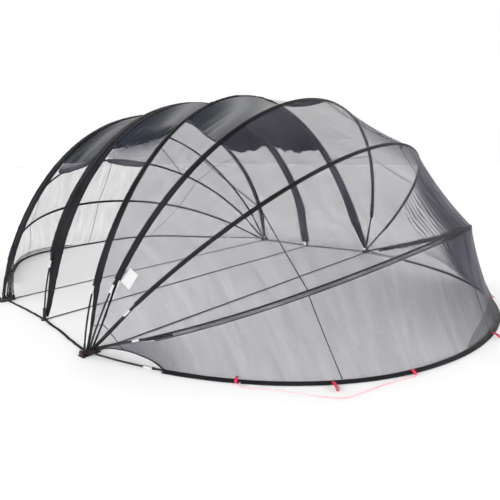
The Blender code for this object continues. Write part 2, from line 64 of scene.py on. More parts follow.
Arrays = tuple[Array, Array]
Pair = tuple[float, float]
Triple = tuple[float, float, float]
Piece, Material = bpy.types.Object, bpy.types.Material
Node, Socket = bpy.types.Node, bpy.types.NodeSocket

# Plan of the ground points and the way the hoops bend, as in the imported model, in metres
PIVOT_HEIGHT = 0.032
EYE_PITCH = 0.022
FRONT_HUB = (0.925, 2.50)
MIDDLE_FOOT = (-0.135, 2.36)
REAR_HUB = (-1.075, 2.335)
FRONT_SPLAY = 0.170
SPLAY_HEIGHT = 0.70
HEM_AXIS = 0.013
HEM_SETTLE = 0.25

# Cloth and rods, in metres
POLE_RADIUS = 0.0076
NET_THICKNESS = 0.0012
CLOTH_THICKNESS = 0.0020
TAPE_THICKNESS = 0.0034
SEAM_WIDTH = 0.0065
EDGE_TUCK = 0.005
HEM_LIFT = 0.004
LEG_INSET = 0.036
LEG_SPREAD = 0.010
FAN_CORNER = 0.05

# The most that folds add to a net's closeness
CLOSEST = 0.75
# Radians of a wave texture for each metre and each unit of its scale
WAVE_RADIANS = 20.0
# Edges that turn less than this are shaded smooth
SMOOTH_BELOW = math.radians(40)

# Directions
UPWARDS = (0.0, 0.0, 1.0)
ACROSS = (0.0, 1.0, 0.0)


class Side(Enum):
    """The two long sides of the dome."""

    NEAR = -1
    FAR = 1

    @property
    def tag(self) -> str:
        """The word for this side in piece names."""
        return self.name.lower()


class Hold(Enum):
    """How a sheet is held."""

    STRETCHED = "stretched"
    GATHERED = "gathered"
    HUNG = "hung"


# Finishes


class Graph:
    """The nodes of a material or of the world, added and linked in few words."""

    def __init__(self, owner: Material | bpy.types.World) -> None:
        """Turns the owner's nodes on."""
        owner.use_nodes = True
        self.owner, self.nodes = owner, owner.node_tree.nodes

    def put(self, node: Node, inputs: dict[str | int, object]) -> None:
        """Sets inputs to values, or links them to the outputs of other nodes.

        Args:
            node: the node.
            inputs: a value or an output for the name or number of each input.
        """
        for socket, value in inputs.items():
            if isinstance(value, Socket):
                self.owner.node_tree.links.new(value, node.inputs[socket])
            else:
                node.inputs[socket].default_value = value

    def add(self, kind: str, inputs: dict[str | int, object] | None = None,
            **settings: object) -> Node:
        """Adds a node.

        Args:
            kind: its type, without the prefix that all of them share.
            inputs: a value or an output for the name or number of each input.
            settings: its own properties.

        Returns:
            The node.
        """
        node = self.nodes.new(f"ShaderNode{kind}")
        for name, value in settings.items():
            setattr(node, name, value)
        self.put(node, inputs or {})
        return node


@dataclass(frozen=True)
class Finish:
    """A material, known by its name, that is built once and then shared."""

    name: str

    def make(self) -> Material:
        """Builds the material, or finds it where it has been built.

        Returns:
            The finished material.
        """
        found = bpy.data.materials.get(self.name)
        if found:
            return found
        graph = Graph(bpy.data.materials.new(self.name))
        self.dress(graph, graph.nodes["Principled BSDF"])
        return graph.owner

    def dress(self, graph: Graph, shader: Node) -> None:
        """Adds the nodes of this kind of finish.

        Args:
            graph: the material's nodes.
            shader: its Principled shader.
        """
        raise NotImplementedError


@dataclass(frozen=True)
class ClothFinish(Finish):
    """Woven cloth: threads from the UV map, slow changes of tone, and small creases.

    Attributes:
        dark: the colour in the folds, and light: the colour on the crests.
        roughness: the mean roughness.
        specular: the strength of the plain reflection.
        sheen: the strength of the fibres' soft edge light.
        thread: how close the threads lie, in radians of their wave for each metre.
        weave_bump: how strongly the threads stand out, and thread_height: their height.
        crease_bump: how strongly the small creases stand out, and crease_height: their height.
        opacity: 1 for cloth, less for a net, and mottle: how much the net's closeness varies.
        streaks: how much it varies in long streaks from hoop to hoop.
        thread_share: how much of the net's mottle follows the threads.
        streak_scale: how often the streaks change across and along the bay.
        streak_turn: how far the streaks slant, in radians.
    """

    dark: Triple
    light: Triple
    roughness: float
    specular: float = 0.3
    sheen: float = 0.0
    thread: float = 900.0
    weave_bump: float = 0.12
    crease_bump: float = 0.25
    opacity: float = 1.0
    mottle: float = 0.0
    streaks: float = 0.0
    thread_height: float = 0.0004
    crease_height: float = 0.004
    thread_share: float = 0.35
    streak_scale: Triple = (1.6, 11.0, 1.0)
    streak_turn: float = 0.35

    def dress(self, graph: Graph, shader: Node) -> None:
        """Adds the nodes of woven cloth.

        Args:
            graph: the material's nodes.
            shader: its Principled shader.
        """
        place = graph.add("TexCoord").outputs
        tone = graph.add("TexNoise", {"Vector": place["Object"], "Scale": 2.2, "Detail": 5.0})
        blend = graph.add("ValToRGB", {"Fac": tone.outputs["Fac"]})
        for stop, position, colour in zip(blend.color_ramp.elements, (0.35, 0.68),
                                          (self.dark, self.light)):
            stop.position, stop.color = position, (*colour, 1.0)
        wave = {"Vector": place["UV"], "Scale": self.thread / WAVE_RADIANS, "Distortion": 0.6}
        threads = graph.add("Math", {
            number: graph.add("TexWave", wave, wave_type="BANDS", bands_direction=way).outputs["Fac"]
            for number, way in enumerate("XY")}, operation="MAXIMUM").outputs[0]
        creases = graph.add("TexNoise", {"Vector": place["Object"], "Scale": 26.0, "Detail": 3.0})
        fine = graph.add("Bump", {
            "Strength": self.weave_bump, "Distance": self.thread_height, "Height": threads})
        broad = graph.add("Bump", {
            "Strength": self.crease_bump, "Distance": self.crease_height,
            "Height": creases.outputs["Fac"], "Normal": fine.outputs["Normal"]})
        graph.put(shader, {
            "Base Color": blend.outputs["Color"], "Roughness": self.roughness,
            "Specular IOR Level": self.specular, "Sheen Weight": self.sheen,
            "Sheen Roughness": 0.5, "Normal": broad.outputs["Normal"]})
        if self.opacity < 1.0:
            alpha = self.closeness(graph, place["UV"], tone.outputs["Fac"], threads)
            graph.put(shader, {"Alpha": alpha})

    def closeness(self, graph: Graph, uv: Socket, tone: Socket,
                  threads: Socket) -> Socket:
        """How much of a net's plane its threads fill, with what its folds add.

        Args:
            graph: the material's nodes.
            uv: the place on the cloth.
            tone: its slow changes.
            threads: its threads.

        Returns:
            The share, from 0 to 1.
        """
        mixed = graph.add("Mix", {"Factor": self.thread_share, "A": tone, "B": threads},
                          data_type="FLOAT")
        level = graph.add("MapRange", {
            "Value": mixed.outputs["Result"], "To Min": self.opacity - self.mottle,
            "To Max": self.opacity + self.mottle})
        stretch = graph.add("Mapping", {
            "Vector": uv, "Scale": self.streak_scale, "Rotation": (0.0, 0.0, self.streak_turn)})
        streak = graph.add("TexNoise", {
            "Vector": stretch.outputs["Vector"], "Scale": 1.0, "Detail": 5.0, "Roughness": 0.65})
        spread = graph.add("MapRange", {
            "Value": streak.outputs["Fac"], "From Min": 0.3, "From Max": 0.7,
            "To Min": -self.streaks, "To Max": self.streaks})
        drift = graph.add("Math", {0: level.outputs["Result"], 1: spread.outputs["Result"]},
                          operation="ADD")
        drawn = graph.add("Attribute", attribute_name=CLOSENESS)
        return graph.add("Math", {0: drift.outputs[0], 1: drawn.outputs["Fac"]},
                         operation="ADD", use_clamp=True).outputs[0]


@dataclass(frozen=True)
class HardFinish(Finish):
    """Moulded or drawn hard goods: an even colour with a faint grain and uneven gloss.

    Attributes:
        colour: the base colour, and contrast: how far it strays from that, as a share.
        roughness: the lowest and highest roughness.
        metallic: 1 for bare metal.
        grain: grains for each metre.
        bump: how strongly the grain stands out, and grain_height: its height in metres.
    """

    colour: Triple
    roughness: Pair
    metallic: float = 0.0
    grain: float = 220.0
    bump: float = 0.08
    grain_height: float = 0.0006
    contrast: float = 0.2

    def dress(self, graph: Graph, shader: Node) -> None:
        """Adds the nodes of hard goods.

        Args:
            graph: the material's nodes.
            shader: its Principled shader.
        """
        place = graph.add("TexCoord").outputs["Object"]
        grain = graph.add("TexNoise", {"Vector": place, "Scale": self.grain}).outputs["Fac"]
        low, high = ((*[min(1.0, c * share) for c in self.colour], 1.0)
                     for share in (1 - self.contrast, 1 + self.contrast))
        tone = graph.add("Mix", {"A": low, "B": high, "Factor": grain}, data_type="RGBA")
        gloss = graph.add("MapRange", {"Value": grain, "To Min": self.roughness[0],
                                       "To Max": self.roughness[1]})
        bump = graph.add("Bump", {"Strength": self.bump, "Distance": self.grain_height,
                                  "Height": grain})
        graph.put(shader, {
            "Base Color": tone.outputs["Result"], "Roughness": gloss.outputs["Result"],
            "Metallic": self.metallic, "Normal": bump.outputs["Normal"]})


NET = ClothFinish(
    "net", (0.045, 0.043, 0.056), (0.085, 0.081, 0.104), 0.85, specular=0.1, sheen=0.05,
    thread=420.0, weave_bump=0.2, crease_bump=0.1, opacity=0.205, mottle=0.05,
    streaks=0.045,
)
NET_BAND = ClothFinish(
    "net_sleeve", (0.022, 0.022, 0.027), (0.042, 0.041, 0.050), 0.8, specular=0.15,
    thread=420.0, weave_bump=0.2, crease_bump=0.4, opacity=0.50, mottle=0.12,
)
ROOF = ClothFinish(
    "roof_fabric", (0.009, 0.011, 0.015), (0.015, 0.018, 0.025), 0.26, specular=0.36,
    thread=1400.0, weave_bump=0.05, crease_bump=0.25,
)
# The roof cloth's inner face: rougher and duller than the outer one, and darker, which is painted
# shade
ROOF_INSIDE_SHADED = ClothFinish(
    "roof_fabric_inside", (0.0030, 0.0030, 0.0050), (0.0065, 0.0065, 0.0100), 0.8, specular=0.06,
    thread=1400.0, weave_bump=0.1, crease_bump=0.8,
)
SLEEVE = ClothFinish(
    "sleeve_cloth", (0.0035, 0.0033, 0.0050), (0.0100, 0.0094, 0.0140), 0.50, specular=0.22,
    thread=1100.0, crease_bump=0.8,
)
ROLLED = ClothFinish(
    "rolled_net", (0.014, 0.014, 0.019), (0.038, 0.038, 0.046), 0.8, specular=0.15,
    thread=420.0, weave_bump=0.4, crease_bump=0.7,
)
SKIRT = ClothFinish(
    "skirt_cloth", (0.050, 0.050, 0.052), (0.075, 0.075, 0.078), 0.8, specular=0.15,
    thread=500.0, crease_bump=0.3, opacity=0.33, mottle=0.06,
)
WEBBING = ClothFinish(
    "strap_webbing", (0.010, 0.010, 0.012), (0.026, 0.025, 0.028), 0.75, specular=0.2,
    thread=700.0, weave_bump=0.5, crease_bump=0.1,
)
RED_WEBBING = ClothFinish(
    "red_webbing", (0.48, 0.010, 0.045), (0.66, 0.030, 0.085), 0.7, specular=0.25,
    thread=600.0, weave_bump=0.5, crease_bump=0.1,
)
ROPE = ClothFinish(
    "guy_rope_braid", (0.60, 0.24, 0.28), (0.80, 0.46, 0.50), 0.7, specular=0.2, thread=300.0,
    weave_bump=0.8,
)
POLE = HardFinish("pole_rod", (0.007, 0.007, 0.009), (0.30, 0.46))
FERRULE = HardFinish("ferrule_metal", (0.86, 0.86, 0.87), (0.25, 0.40), metallic=0.85)
MOULDED = HardFinish("moulded_black", (0.010, 0.010, 0.013), (0.40, 0.58), bump=0.2)
PEG = HardFinish("peg_steel", (0.55, 0.55, 0.57), (0.3, 0.45), metallic=1.0)
TAG = ClothFinish(
    "blank_tag", (0.28, 0.28, 0.29), (0.42, 0.42, 0.42), 0.8, thread=900.0, crease_bump=0.2,
)


# Hoops


@dataclass(frozen=True)
class Drape:
    """How a sleeve lies towards one end of its pole, and the band below it.

    Attributes:
        shift: how far the sleeve slides forwards along the way down.
        turn: how far its front edge turns inwards, in degrees, and widen: how much it widens.
        band: the width of the band below it, at its top and at its foot.
    """

    shift: float = 0.0
    turn: float = 0.0
    widen: float = 0.0
    band: Pair = (0.026, 0.016)


@dataclass(frozen=True)
class Hoop:
    """One bent pole from foot to foot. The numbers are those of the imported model.

    Attributes:
        hub: its hub's place along the dome, and the hub's distance from the middle line.
        place: where its eyes sit on the hub's pin, in pitches outwards.
        splay: how far its feet stand outside the bow above them.
        rise: how far it reaches from its hubs, and lean: how far it leans forwards, in degrees.
        shoulder: how much further it reaches beside its middle, as a share.
        spread: how much wider its shoulders are, as a share.
        twist: how many degrees more its legs lean than its middle.
        sleeve_start: the angle where its sleeve begins, in degrees from either foot.
        body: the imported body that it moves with.
        ferrule_at: the angle of the metal joint in each leg, in degrees.
        near: how the sleeve lies towards the near foot, and far: towards the far foot.
        shift: how far the sleeve lies in front of the pole.
        ground_bow: how far the cloth's edge bows inwards beside its bare leg.
        settle: the height at which the splay fades, and how sharply.
        pivots: whether its ends turn on a hub's pin.
    """

    name: str
    hub: Pair
    place: float
    splay: float
    rise: float
    lean: float
    shoulder: float
    spread: float
    twist: float
    sleeve_start: float
    sleeve_width: float
    body: str
    ferrule_at: float
    near: Drape = Drape()
    far: Drape = Drape()
    shift: float = 0.0
    ground_bow: float = 0.0
    settle: Pair = (SPLAY_HEIGHT, 1.0)
    pivots: bool = True

    @property
    def half_span(self) -> float:
        """Half the distance between the two ends."""
        return self.hub[1] + EYE_PITCH * self.place

    @property
    def on_ground(self) -> bool:
        """True for the two hoops that lie on the ground."""
        return abs(self.lean) == 90.0

    def point(self, t: Array) -> Array:
        """The pole's centre line.

        Args:
            t: angles from the near foot, in radians.

        Returns:
            One point for each angle.
        """
        t = np.asarray(t, float)
        along = self.rise * np.sin(t) * (1 + self.shoulder * np.cos(t) ** 2)
        width = (self.half_span - self.splay) * (1 + self.spread * np.sin(t) ** 2)
        settled = np.exp(-((np.maximum(along, 0.0) / self.settle[0]) ** self.settle[1]))
        across = -np.cos(t) * (width + self.splay * settled)
        angle = np.radians(self.lean + self.twist * np.cos(t) ** 2)
        high = PIVOT_HEIGHT + along * np.cos(angle)
        if self.on_ground:
            high = HEM_AXIS + (PIVOT_HEIGHT - HEM_AXIS) * np.exp(-along / HEM_SETTLE)
        return np.stack([self.hub[0] + along * np.sin(angle), across, high], axis=-1)

    def frames(self, t: Array) -> tuple[Array, Array, Array]:
        """Centre, outward and forward directions along the pole.

        Args:
            t: angles from the near foot, in radians.

        Returns:
            Three arrays with one row for each angle.
        """
        t = np.asarray(t, float)
        centre = self.point(t)
        tangent = unit(self.point(t + 1e-4) - self.point(t - 1e-4))
        middle = np.zeros_like(centre)
        middle[:, 0] = self.hub[0]
        middle[:, 2] = centre[:, 2] if self.on_ground else PIVOT_HEIGHT
        outward = centre - middle
        outward = unit(outward - np.sum(outward * tangent, 1, keepdims=True) * tangent)
        return centre, outward, np.cross(tangent, outward)

    def across(self, t: Array) -> Arrays:
        """The directions across and out of the sleeve, whose front edge turns inwards low down.

        Args:
            t: angles from the near foot, in radians.

        Returns:
            Two arrays with one row for each angle.
        """
        outward, forward = self.frames(t)[1:]
        turn = np.where(np.cos(t) > 0, self.near.turn, self.far.turn)
        angle = (np.radians(turn) * np.abs(np.cos(t)) ** 1.2)[:, None]
        return (forward * np.cos(angle) - outward * np.sin(angle),
                outward * np.cos(angle) + forward * np.sin(angle))

    def offset(self, t: Array) -> Array:
        """How far the sleeve's middle lies in front of the pole."""
        slide = np.where(np.cos(t) > 0, self.near.shift, self.far.shift)
        return self.shift + slide * np.cos(t) ** 4

    def half_width(self, t: Array) -> Array:
        """Half the sleeve's width."""
        widen = np.where(np.cos(t) > 0, self.near.widen, self.far.widen)
        return (self.sleeve_width + widen * np.cos(t) ** 2) / 2

    def stops(self) -> list[float]:
        """The angles of the runs q = 0, 1, 2 and 3."""
        low = FAN_CORNER / (self.rise * (1 + self.shoulder))
        start = math.radians(self.sleeve_start)
        return [low, start, math.pi - start, math.pi - low]

    def angle(self, q: Array) -> Array:
        """The angles at runs q."""
        return np.interp(q, [0, 1, 2, 3], self.stops())

    def run(self, degrees: float) -> float:
        """The run q at an angle in degrees."""
        return float(np.interp(math.radians(degrees), self.stops(), [0, 1, 2, 3]))

    def cloth_edge(self, q: Array, side: int) -> Array:
        """Where the cloth beside the hoop begins: inside the sleeve's edge, and on a straight
        line to the hub below the sleeve.

        Args:
            q: runs along the hoop.
            side: 1 on the front side of the hoop, -1 on the rear side.

        Returns:
            One point for each run.
        """
        q = np.asarray(q, float)
        centre, across = self.point(self.angle(q)), self.across(self.angle(q))[0]
        reach = side * (self.half_width(self.angle(q)) - EDGE_TUCK)
        sewn = centre + across * (self.offset(self.angle(q)) + reach)[:, None]
        corners = np.array([0.0, *self.stops()[1:3], math.pi])
        ends, turned = self.frames(corners), self.across(corners)[0]
        if self.on_ground:
            sewn = sewn + np.array([0.0, 0.0, HEM_LIFT])
        for hub, end in ((0, 1), (3, 2)):
            below = q < 1 if hub == 0 else q > 2
            if not below.any():
                continue
            share = np.abs(self.angle(q[below]) - corners[hub]) / abs(corners[end] - corners[hub])
            share = share[:, None]
            foot = ends[0][hub] - ends[1][hub] * LEG_INSET
            top_straight = ends[0][end] - ends[1][end] * LEG_INSET
            top_straight = top_straight + side * ends[2][end] * LEG_SPREAD
            tuck = self.offset(corners[end])
            tuck = tuck + side * (self.half_width(corners[end]) - EDGE_TUCK)
            top_sewn = ends[0][end] + turned[end] * tuck
            straight = foot * (1 - share) + top_straight * share
            if self.on_ground:
                straight = straight - ends[1][end] * self.ground_bow * np.sin(math.pi * share ** 0.7)
            merge = np.clip((share - 0.72) / 0.28, 0, 1) ** 2 if self.on_ground else share ** 1.5
            sewn[below] = straight + (top_sewn - top_straight) * merge
        return sewn


def unit(vectors: Array) -> Array:
    """Each vector scaled to length one."""
    return vectors / np.linalg.norm(vectors, axis=-1, keepdims=True)


def rear(name: str, place: float, splay: float, *shape: float, body: str, **more: object) -> Hoop:
    """A hoop on the rear hubs, whose arguments are those of Hoop from its rise on."""
    return Hoop(name, REAR_HUB, place, splay, *shape, body=body, **more)


def front(name: str, place: float, *shape: float, body: str, **more: object) -> Hoop:
    """A hoop on the front hubs, which all splay alike."""
    return Hoop(name, FRONT_HUB, place, FRONT_SPLAY, *shape, body=body, **more)


REAR_GROUND = rear("rear_ground_hoop", 1, 0.600, 2.27, -90.0, 0.46, 0.0, 0.0, 15.0, 0.026,
                   body="rear_ground", ferrule_at=12.0, settle=(1.05, 1.5))
REAR_3 = rear("rear_hoop_3", -2, 0.270, 1.979, -67.1, -0.005, 0.042, 2.1, 15.0, 0.040,
              body="rear_3", ferrule_at=12.0)
REAR_2 = rear("rear_hoop_2", -1, 0.270, 1.976, -41.4, -0.125, 0.055, 6.9, 15.0, 0.045,
              body="rear_2", ferrule_at=12.0)
REAR_1 = rear("rear_hoop_1", 0, 0.215, 2.024, -17.6, -0.144, 0.020, 0.0, 15.0, 0.045,
              body="rear_1", ferrule_at=12.0)
REAR_ARCH = rear("rear_arch", 2, 0.185, 2.115, -1.6, -0.072, 0.035, 3.8, 12.0, 0.105,
                 body="base", ferrule_at=9.5, shift=-0.008,
                 near=Drape(turn=28.0, widen=-0.020, band=(0.066, 0.036)),
                 far=Drape(band=(0.100, 0.060)))
MIDDLE_ARCH = Hoop("middle_arch", MIDDLE_FOOT, 0, 0.085, 2.218, -3.7, -0.121, 0.024, 1.1, 18.4,
                   0.150, body="base", ferrule_at=15.1, pivots=False,
                   near=Drape(0.050, 28.0, 0.0, (0.140, 0.045)),
                   far=Drape(0.0, 0.0, 0.0, (0.170, 0.150)))
MAIN_ARCH = front("main_arch", 2, 2.25, -8.5, -0.217, 0.031, -1.8, 17.0, 0.075,
                  body="base", ferrule_at=15.4, near=Drape(0.040, 20.0, 0.0, (0.060, 0.024)),
                  far=Drape(-0.075, 0.0, 0.080, (0.150, 0.085)))
FRONT_1 = front("front_hoop_1", 0, 2.207, 16.4, -0.093, 0.030, -2.4, 17.5, 0.050,
                body="front_1", ferrule_at=15.1, shift=0.010, near=Drape(0.004, 20.0, 0.010),
                far=Drape(0.0, 0.0, 0.010, (0.030, 0.018)))
FRONT_2 = front("front_hoop_2", -1, 2.207, 41.6, -0.076, 0.030, 1.1, 16.1, 0.038,
                body="front_2", ferrule_at=13.4)
FRONT_3 = front("front_hoop_3", -2, 2.296, 67.1, -0.158, 0.019, 4.6, 17.1, 0.044,
                body="front_3", ferrule_at=12.6, shift=0.013)
FRONT_GROUND = front("front_ground_hoop", 1, 2.42, 90.0, 0.044, 0.024, 0.0, 16.6, 0.026,
                     body="front_ground", ferrule_at=13.6, ground_bow=0.105)
HOOPS = [REAR_GROUND, REAR_3, REAR_2, REAR_1, REAR_ARCH, MIDDLE_ARCH, MAIN_ARCH, FRONT_1,
         FRONT_2, FRONT_3, FRONT_GROUND]


# Mesh helpers


def declare(piece: Piece, slot: str, body: str, node: str | None = None) -> None:
    """Says what a finished piece is and lets it move.

    Args:
        piece: the piece.
        slot: the record's material slot.
        body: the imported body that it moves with.
        node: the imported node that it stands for.
    """
    if node:
        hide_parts(node)
    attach(piece, body)
    LOG.info("%s: %s, moves with %s", piece.name, slot, body)


def add_object(name: str, mesh: bpy.types.Mesh, finish: Material) -> Piece:
    """A new object at the origin with one material."""
    mesh.materials.clear()
    mesh.materials.append(finish)
    item = bpy.data.objects.new(name, mesh)
    bpy.context.scene.collection.objects.link(item)
    return item


def grid_mesh(name: str, points: Array, faces: list, uvs: Array,
              close: Array | None = None) -> bpy.types.Mesh:
    """A mesh with a UV map, smooth all over.

    Args:
        name: the mesh's name.
        points: one row for each vertex.
        faces: vertex numbers of each face.
        uvs: one UV for each vertex, in metres.
        close: how much closer the weave looks at each vertex, from 0 to 1.

    Returns:
        The mesh.
    """
    mesh = bpy.data.meshes.new(name)
    mesh.from_pydata(points.reshape(-1, 3).tolist(), [], faces)
    layer = mesh.uv_layers.new(name="UVMap")
    index = np.zeros(len(mesh.loops), np.int32)
    mesh.loops.foreach_get("vertex_index", index)
    layer.data.foreach_set("uv", uvs.reshape(-1, 2)[index].astype(np.float32).ravel())
    mesh.shade_smooth()
    if close is not None:
        layer = mesh.attributes.new(CLOSENESS, "FLOAT", "POINT")
        layer.data.foreach_set("value", close.ravel().astype(np.float32))
    return mesh


def travelled(points: Array, axis: int = 0) -> Array:
    """The distance along a line or a grid of points from its first one, in metres."""
    steps = np.linalg.norm(np.diff(points, axis=axis), axis=-1)
    return np.cumsum(np.insert(steps, 0, 0.0, axis=axis), axis=axis)


def shell(name: str, middle: Array, thickness: float, finish: Material,
          out: Array, close: Array | None = None,
          inside: Material | None = None) -> tuple[Piece, float]:
    """A closed thin sheet about a grid of points.

    Args:
        name: the piece's name.
        middle: rows by columns of points.
        thickness: the sheet's thickness.
        finish: its material.
        out: a direction that roughly faces outwards.
        close: how much closer the weave looks at each point, from 0 to 1.
        inside: the material of its inner face, where that looks different.

    Returns:
        The object and the area of its middle.
    """
    rows, columns = middle.shape[:2]
    down, along = np.gradient(middle, axis=0), np.gradient(middle, axis=1)
    normal = np.cross(down, along)
    normal /= np.maximum(np.linalg.norm(normal, axis=2, keepdims=True), 1e-12)
    flip = np.sum(normal * out) < 0
    if flip:
        normal = -normal
    top = middle + normal * thickness / 2
    bottom = middle - normal * thickness / 2
    number = np.arange(rows * columns).reshape(rows, columns)
    low = number[:-1, :-1].ravel()
    quads = np.stack([low, low + columns, low + columns + 1, low + 1], axis=1)
    back = quads[:, ::-1] + rows * columns
    rim = np.concatenate([number[0, :], number[1:, -1], number[-1, -2::-1], number[-2:0:-1, 0]])
    after = np.roll(rim, -1)
    edge = np.stack([rim, after, after + rows * columns, rim + rows * columns], axis=1)
    faces = np.concatenate([quads, back, edge])
    if flip:
        faces = faces[:, ::-1]
    across = travelled(middle, 1)
    across -= across[:, -1:] / 2
    length = travelled(middle[:, columns // 2])
    uv = np.stack([across, np.repeat(length[:, None], columns, axis=1)], axis=2)
    mesh = grid_mesh(name, np.concatenate([top.reshape(-1, 3), bottom.reshape(-1, 3)]),
                     faces.tolist(), np.concatenate([uv.reshape(-1, 2)] * 2),
                     None if close is None else np.tile(close.ravel(), 2))
    step_u, step_v = np.diff(middle, axis=1)[:-1], np.diff(middle, axis=0)[:, :-1]
    area = float(np.linalg.norm(np.cross(step_u, step_v), axis=2).sum())
    item = add_object(name, mesh, finish)
    if inside:
        mesh.materials.append(inside)
        faced = np.zeros(len(mesh.polygons), np.int32)
        faced[len(quads):2 * len(quads)] = 1
        mesh.polygons.foreach_set("material_index", faced)
    return item, area


def strip(name: str, middle: Array, thickness: float, finish: ClothFinish, out: Array,
          slot: str, body: str, node: str | None = None) -> None:
    """A shell that moves with one body, declared at once.

    Args:
        name: the piece's name.
        middle: rows by columns of points.
        thickness: its thickness.
        finish: its cloth.
        out: a direction that roughly faces outwards.
        slot: the record's material slot.
        body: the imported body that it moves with.
        node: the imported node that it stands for.
    """
    declare(shell(name, middle, thickness, finish.make(), out)[0], slot, body, node)


def tube(name: str, rings: Array, finish: Material,
         close: Array | None = None) -> Piece:
    """A closed swept body through rings of points.

    Args:
        name: the piece's name.
        rings: rings by sides of points.
        finish: its material.
        close: how much closer the weave looks at each point, from 0 to 1.

    Returns:
        The object.
    """
    rows, sides = rings.shape[:2]
    number = np.arange(rows * sides).reshape(rows, sides)
    a, b = number[:-1], number[1:]
    faces = np.stack([a, np.roll(a, -1, 1), np.roll(b, -1, 1), b], axis=2).reshape(-1, 4).tolist()
    faces.append(number[0, ::-1].tolist())
    faces.append(number[-1].tolist())
    around = np.linalg.norm(np.diff(rings, axis=1, append=rings[:, :1]), axis=2)
    around = np.cumsum(around, axis=1)
    length = travelled(rings.mean(axis=1))
    uv = np.stack([around, np.repeat(length[:, None], sides, axis=1)], axis=2)
    mesh = grid_mesh(name, rings, faces, uv, close)
    work = bmesh.new()
    work.from_mesh(mesh)
    bmesh.ops.recalc_face_normals(work, faces=work.faces[:])
    work.to_mesh(mesh)
    work.free()
    return add_object(name, mesh, finish)


def ripple(seed: int, *places: Array) -> Array:
    """A slow seeded waviness between about -1 and 1, smooth in every argument.

    Args:
        seed: which pattern.
        places: arrays of the same shape, in turns of the slowest wave.

    Returns:
        The waviness at each place.
    """
    random = np.random.default_rng(seed)
    total = np.zeros(np.broadcast(*places).shape)
    weight = 0.0
    for octave in range(4):
        share = 0.62 ** octave
        for _ in range(3):
            turn = random.uniform(-1, 1, len(places)) * 1.7 ** octave
            phase = random.uniform(0, 2 * math.pi)
            wave = sum(k * place for k, place in zip(turn, places))
            total = total + share * np.sin(2 * math.pi * wave + phase)
        weight += share * 1.7
    return total / weight


def window(place: Array, start: float, stop: float, soft: float) -> Array:
    """1 between start and stop, and 0 outside them, with soft ends of the given width."""
    rise, fall = (np.clip(inside / soft, 0, 1) for inside in (place - start, stop - place))
    return (rise * rise * (3 - 2 * rise)) * (fall * fall * (3 - 2 * fall))


# Folds


@dataclass(frozen=True)
class Gathers:
    """Small folds that run away from an edge of a panel and die out.

    Attributes:
        edge: the share of the panel's length where they start, and reach: how far they run.
        count: folds across the bay.
        depth: how deep they are at the edge, in metres.
        seed: which pattern.
        span: first and last share across the bay where they lie.
        close: how much closer the net looks in them.
    """

    edge: float
    reach: float
    count: float
    depth: float
    seed: int
    span: Pair = (0.0, 1.0)
    close: float = 0.0

    def press(self, v: Array, t: Array, u: Array) -> Arrays:
        """How far the folds draw the sheet in, and how much closer it looks.

        Args:
            v: shares of the panel's length.
            t: angles along the hoops, in degrees.
            u: shares across the bay.

        Returns:
            The depth in metres and the closeness.
        """
        near = np.clip(1 - np.abs(v - self.edge) / self.reach, 0, 1) ** 1.5
        within = window(u, *self.span, 0.08)
        wave = np.sin(2 * math.pi * (self.count * u + 0.55 * ripple(
            self.seed, u * 2.3, v * 1.5)))
        wave = wave * (0.6 + 0.4 * ripple(self.seed + 1, u * 4.0, v * 3.0))
        return self.depth * near * wave * within, self.close * near * within * (0.5 + 0.5 * wave)


@dataclass(frozen=True)
class Pulls:
    """Narrow folds that run from hoop to hoop, between two angles and at a spacing in degrees.

    Attributes:
        depth: their depth, in metres.
        close: how much closer the net looks in them.
        seed: which pattern.
        skew: how many degrees they slant across the bay.
    """

    start: float
    stop: float
    spacing: float
    depth: float
    close: float
    seed: int
    skew: float = 0.0

    def press(self, v: Array, t: Array, u: Array) -> Arrays:
        """How far the folds draw the sheet in, and how much closer it looks.

        Args:
            v: shares of the panel's length.
            t: angles along the hoops, in degrees.
            u: shares across the bay.

        Returns:
            The depth in metres and the closeness.
        """
        within = window(t, self.start, self.stop, 8.0)
        phase = (t + self.skew * u) / self.spacing + 0.5 * ripple(self.seed, t / 22, u * 0.35)
        ridge = np.exp(-((np.sin(math.pi * phase) / 0.34) ** 2))
        strength = np.clip(0.6 + 0.5 * ripple(self.seed + 1, t / 9, u * 1.1), 0, 1.2) * within
        hold = np.sqrt(np.clip(4 * u * (1 - u), 0, 1))
        return self.depth * ridge * strength * hold, self.close * ridge * strength


@dataclass(frozen=True)
class Rays:
    """Narrow folds that spread from one place on the front hoop over a stretch of the rear one.

    Attributes:
        apex: the angle on the front hoop, in degrees.
        start: the first angle on the rear hoop, and stop: the last one.
        spacing: degrees from fold to fold on the rear hoop.
        depth: their depth, in metres, with close and seed as for pulls.
    """

    apex: float
    start: float
    stop: float
    spacing: float
    depth: float
    close: float
    seed: int

    def press(self, v: Array, t: Array, u: Array) -> Arrays:
        """How far the folds draw the sheet in, and how much closer it looks.

        Args:
            v: shares of the panel's length.
            t: angles along the hoops, in degrees.
            u: shares across the bay.

        Returns:
            The depth in metres and the closeness.
        """
        away = np.maximum(1 - u, 0.06)
        aim = self.apex + (t - self.apex) / away
        within = window(aim, self.start, self.stop, 7.0)
        phase = aim / self.spacing + 0.35 * ripple(self.seed, aim / 19, u * 0.25)
        ridge = np.exp(-((np.sin(math.pi * phase) / 0.36) ** 2))
        strength = np.clip(0.6 + 0.5 * ripple(self.seed + 1, aim / 9, u * 1.2), 0, 1.2) * within
        hold = np.clip(4.5 * u, 0, 1) * np.clip((1 - u) * 6.0, 0, 1)
        return self.depth * ridge * strength * hold, self.close * ridge * strength


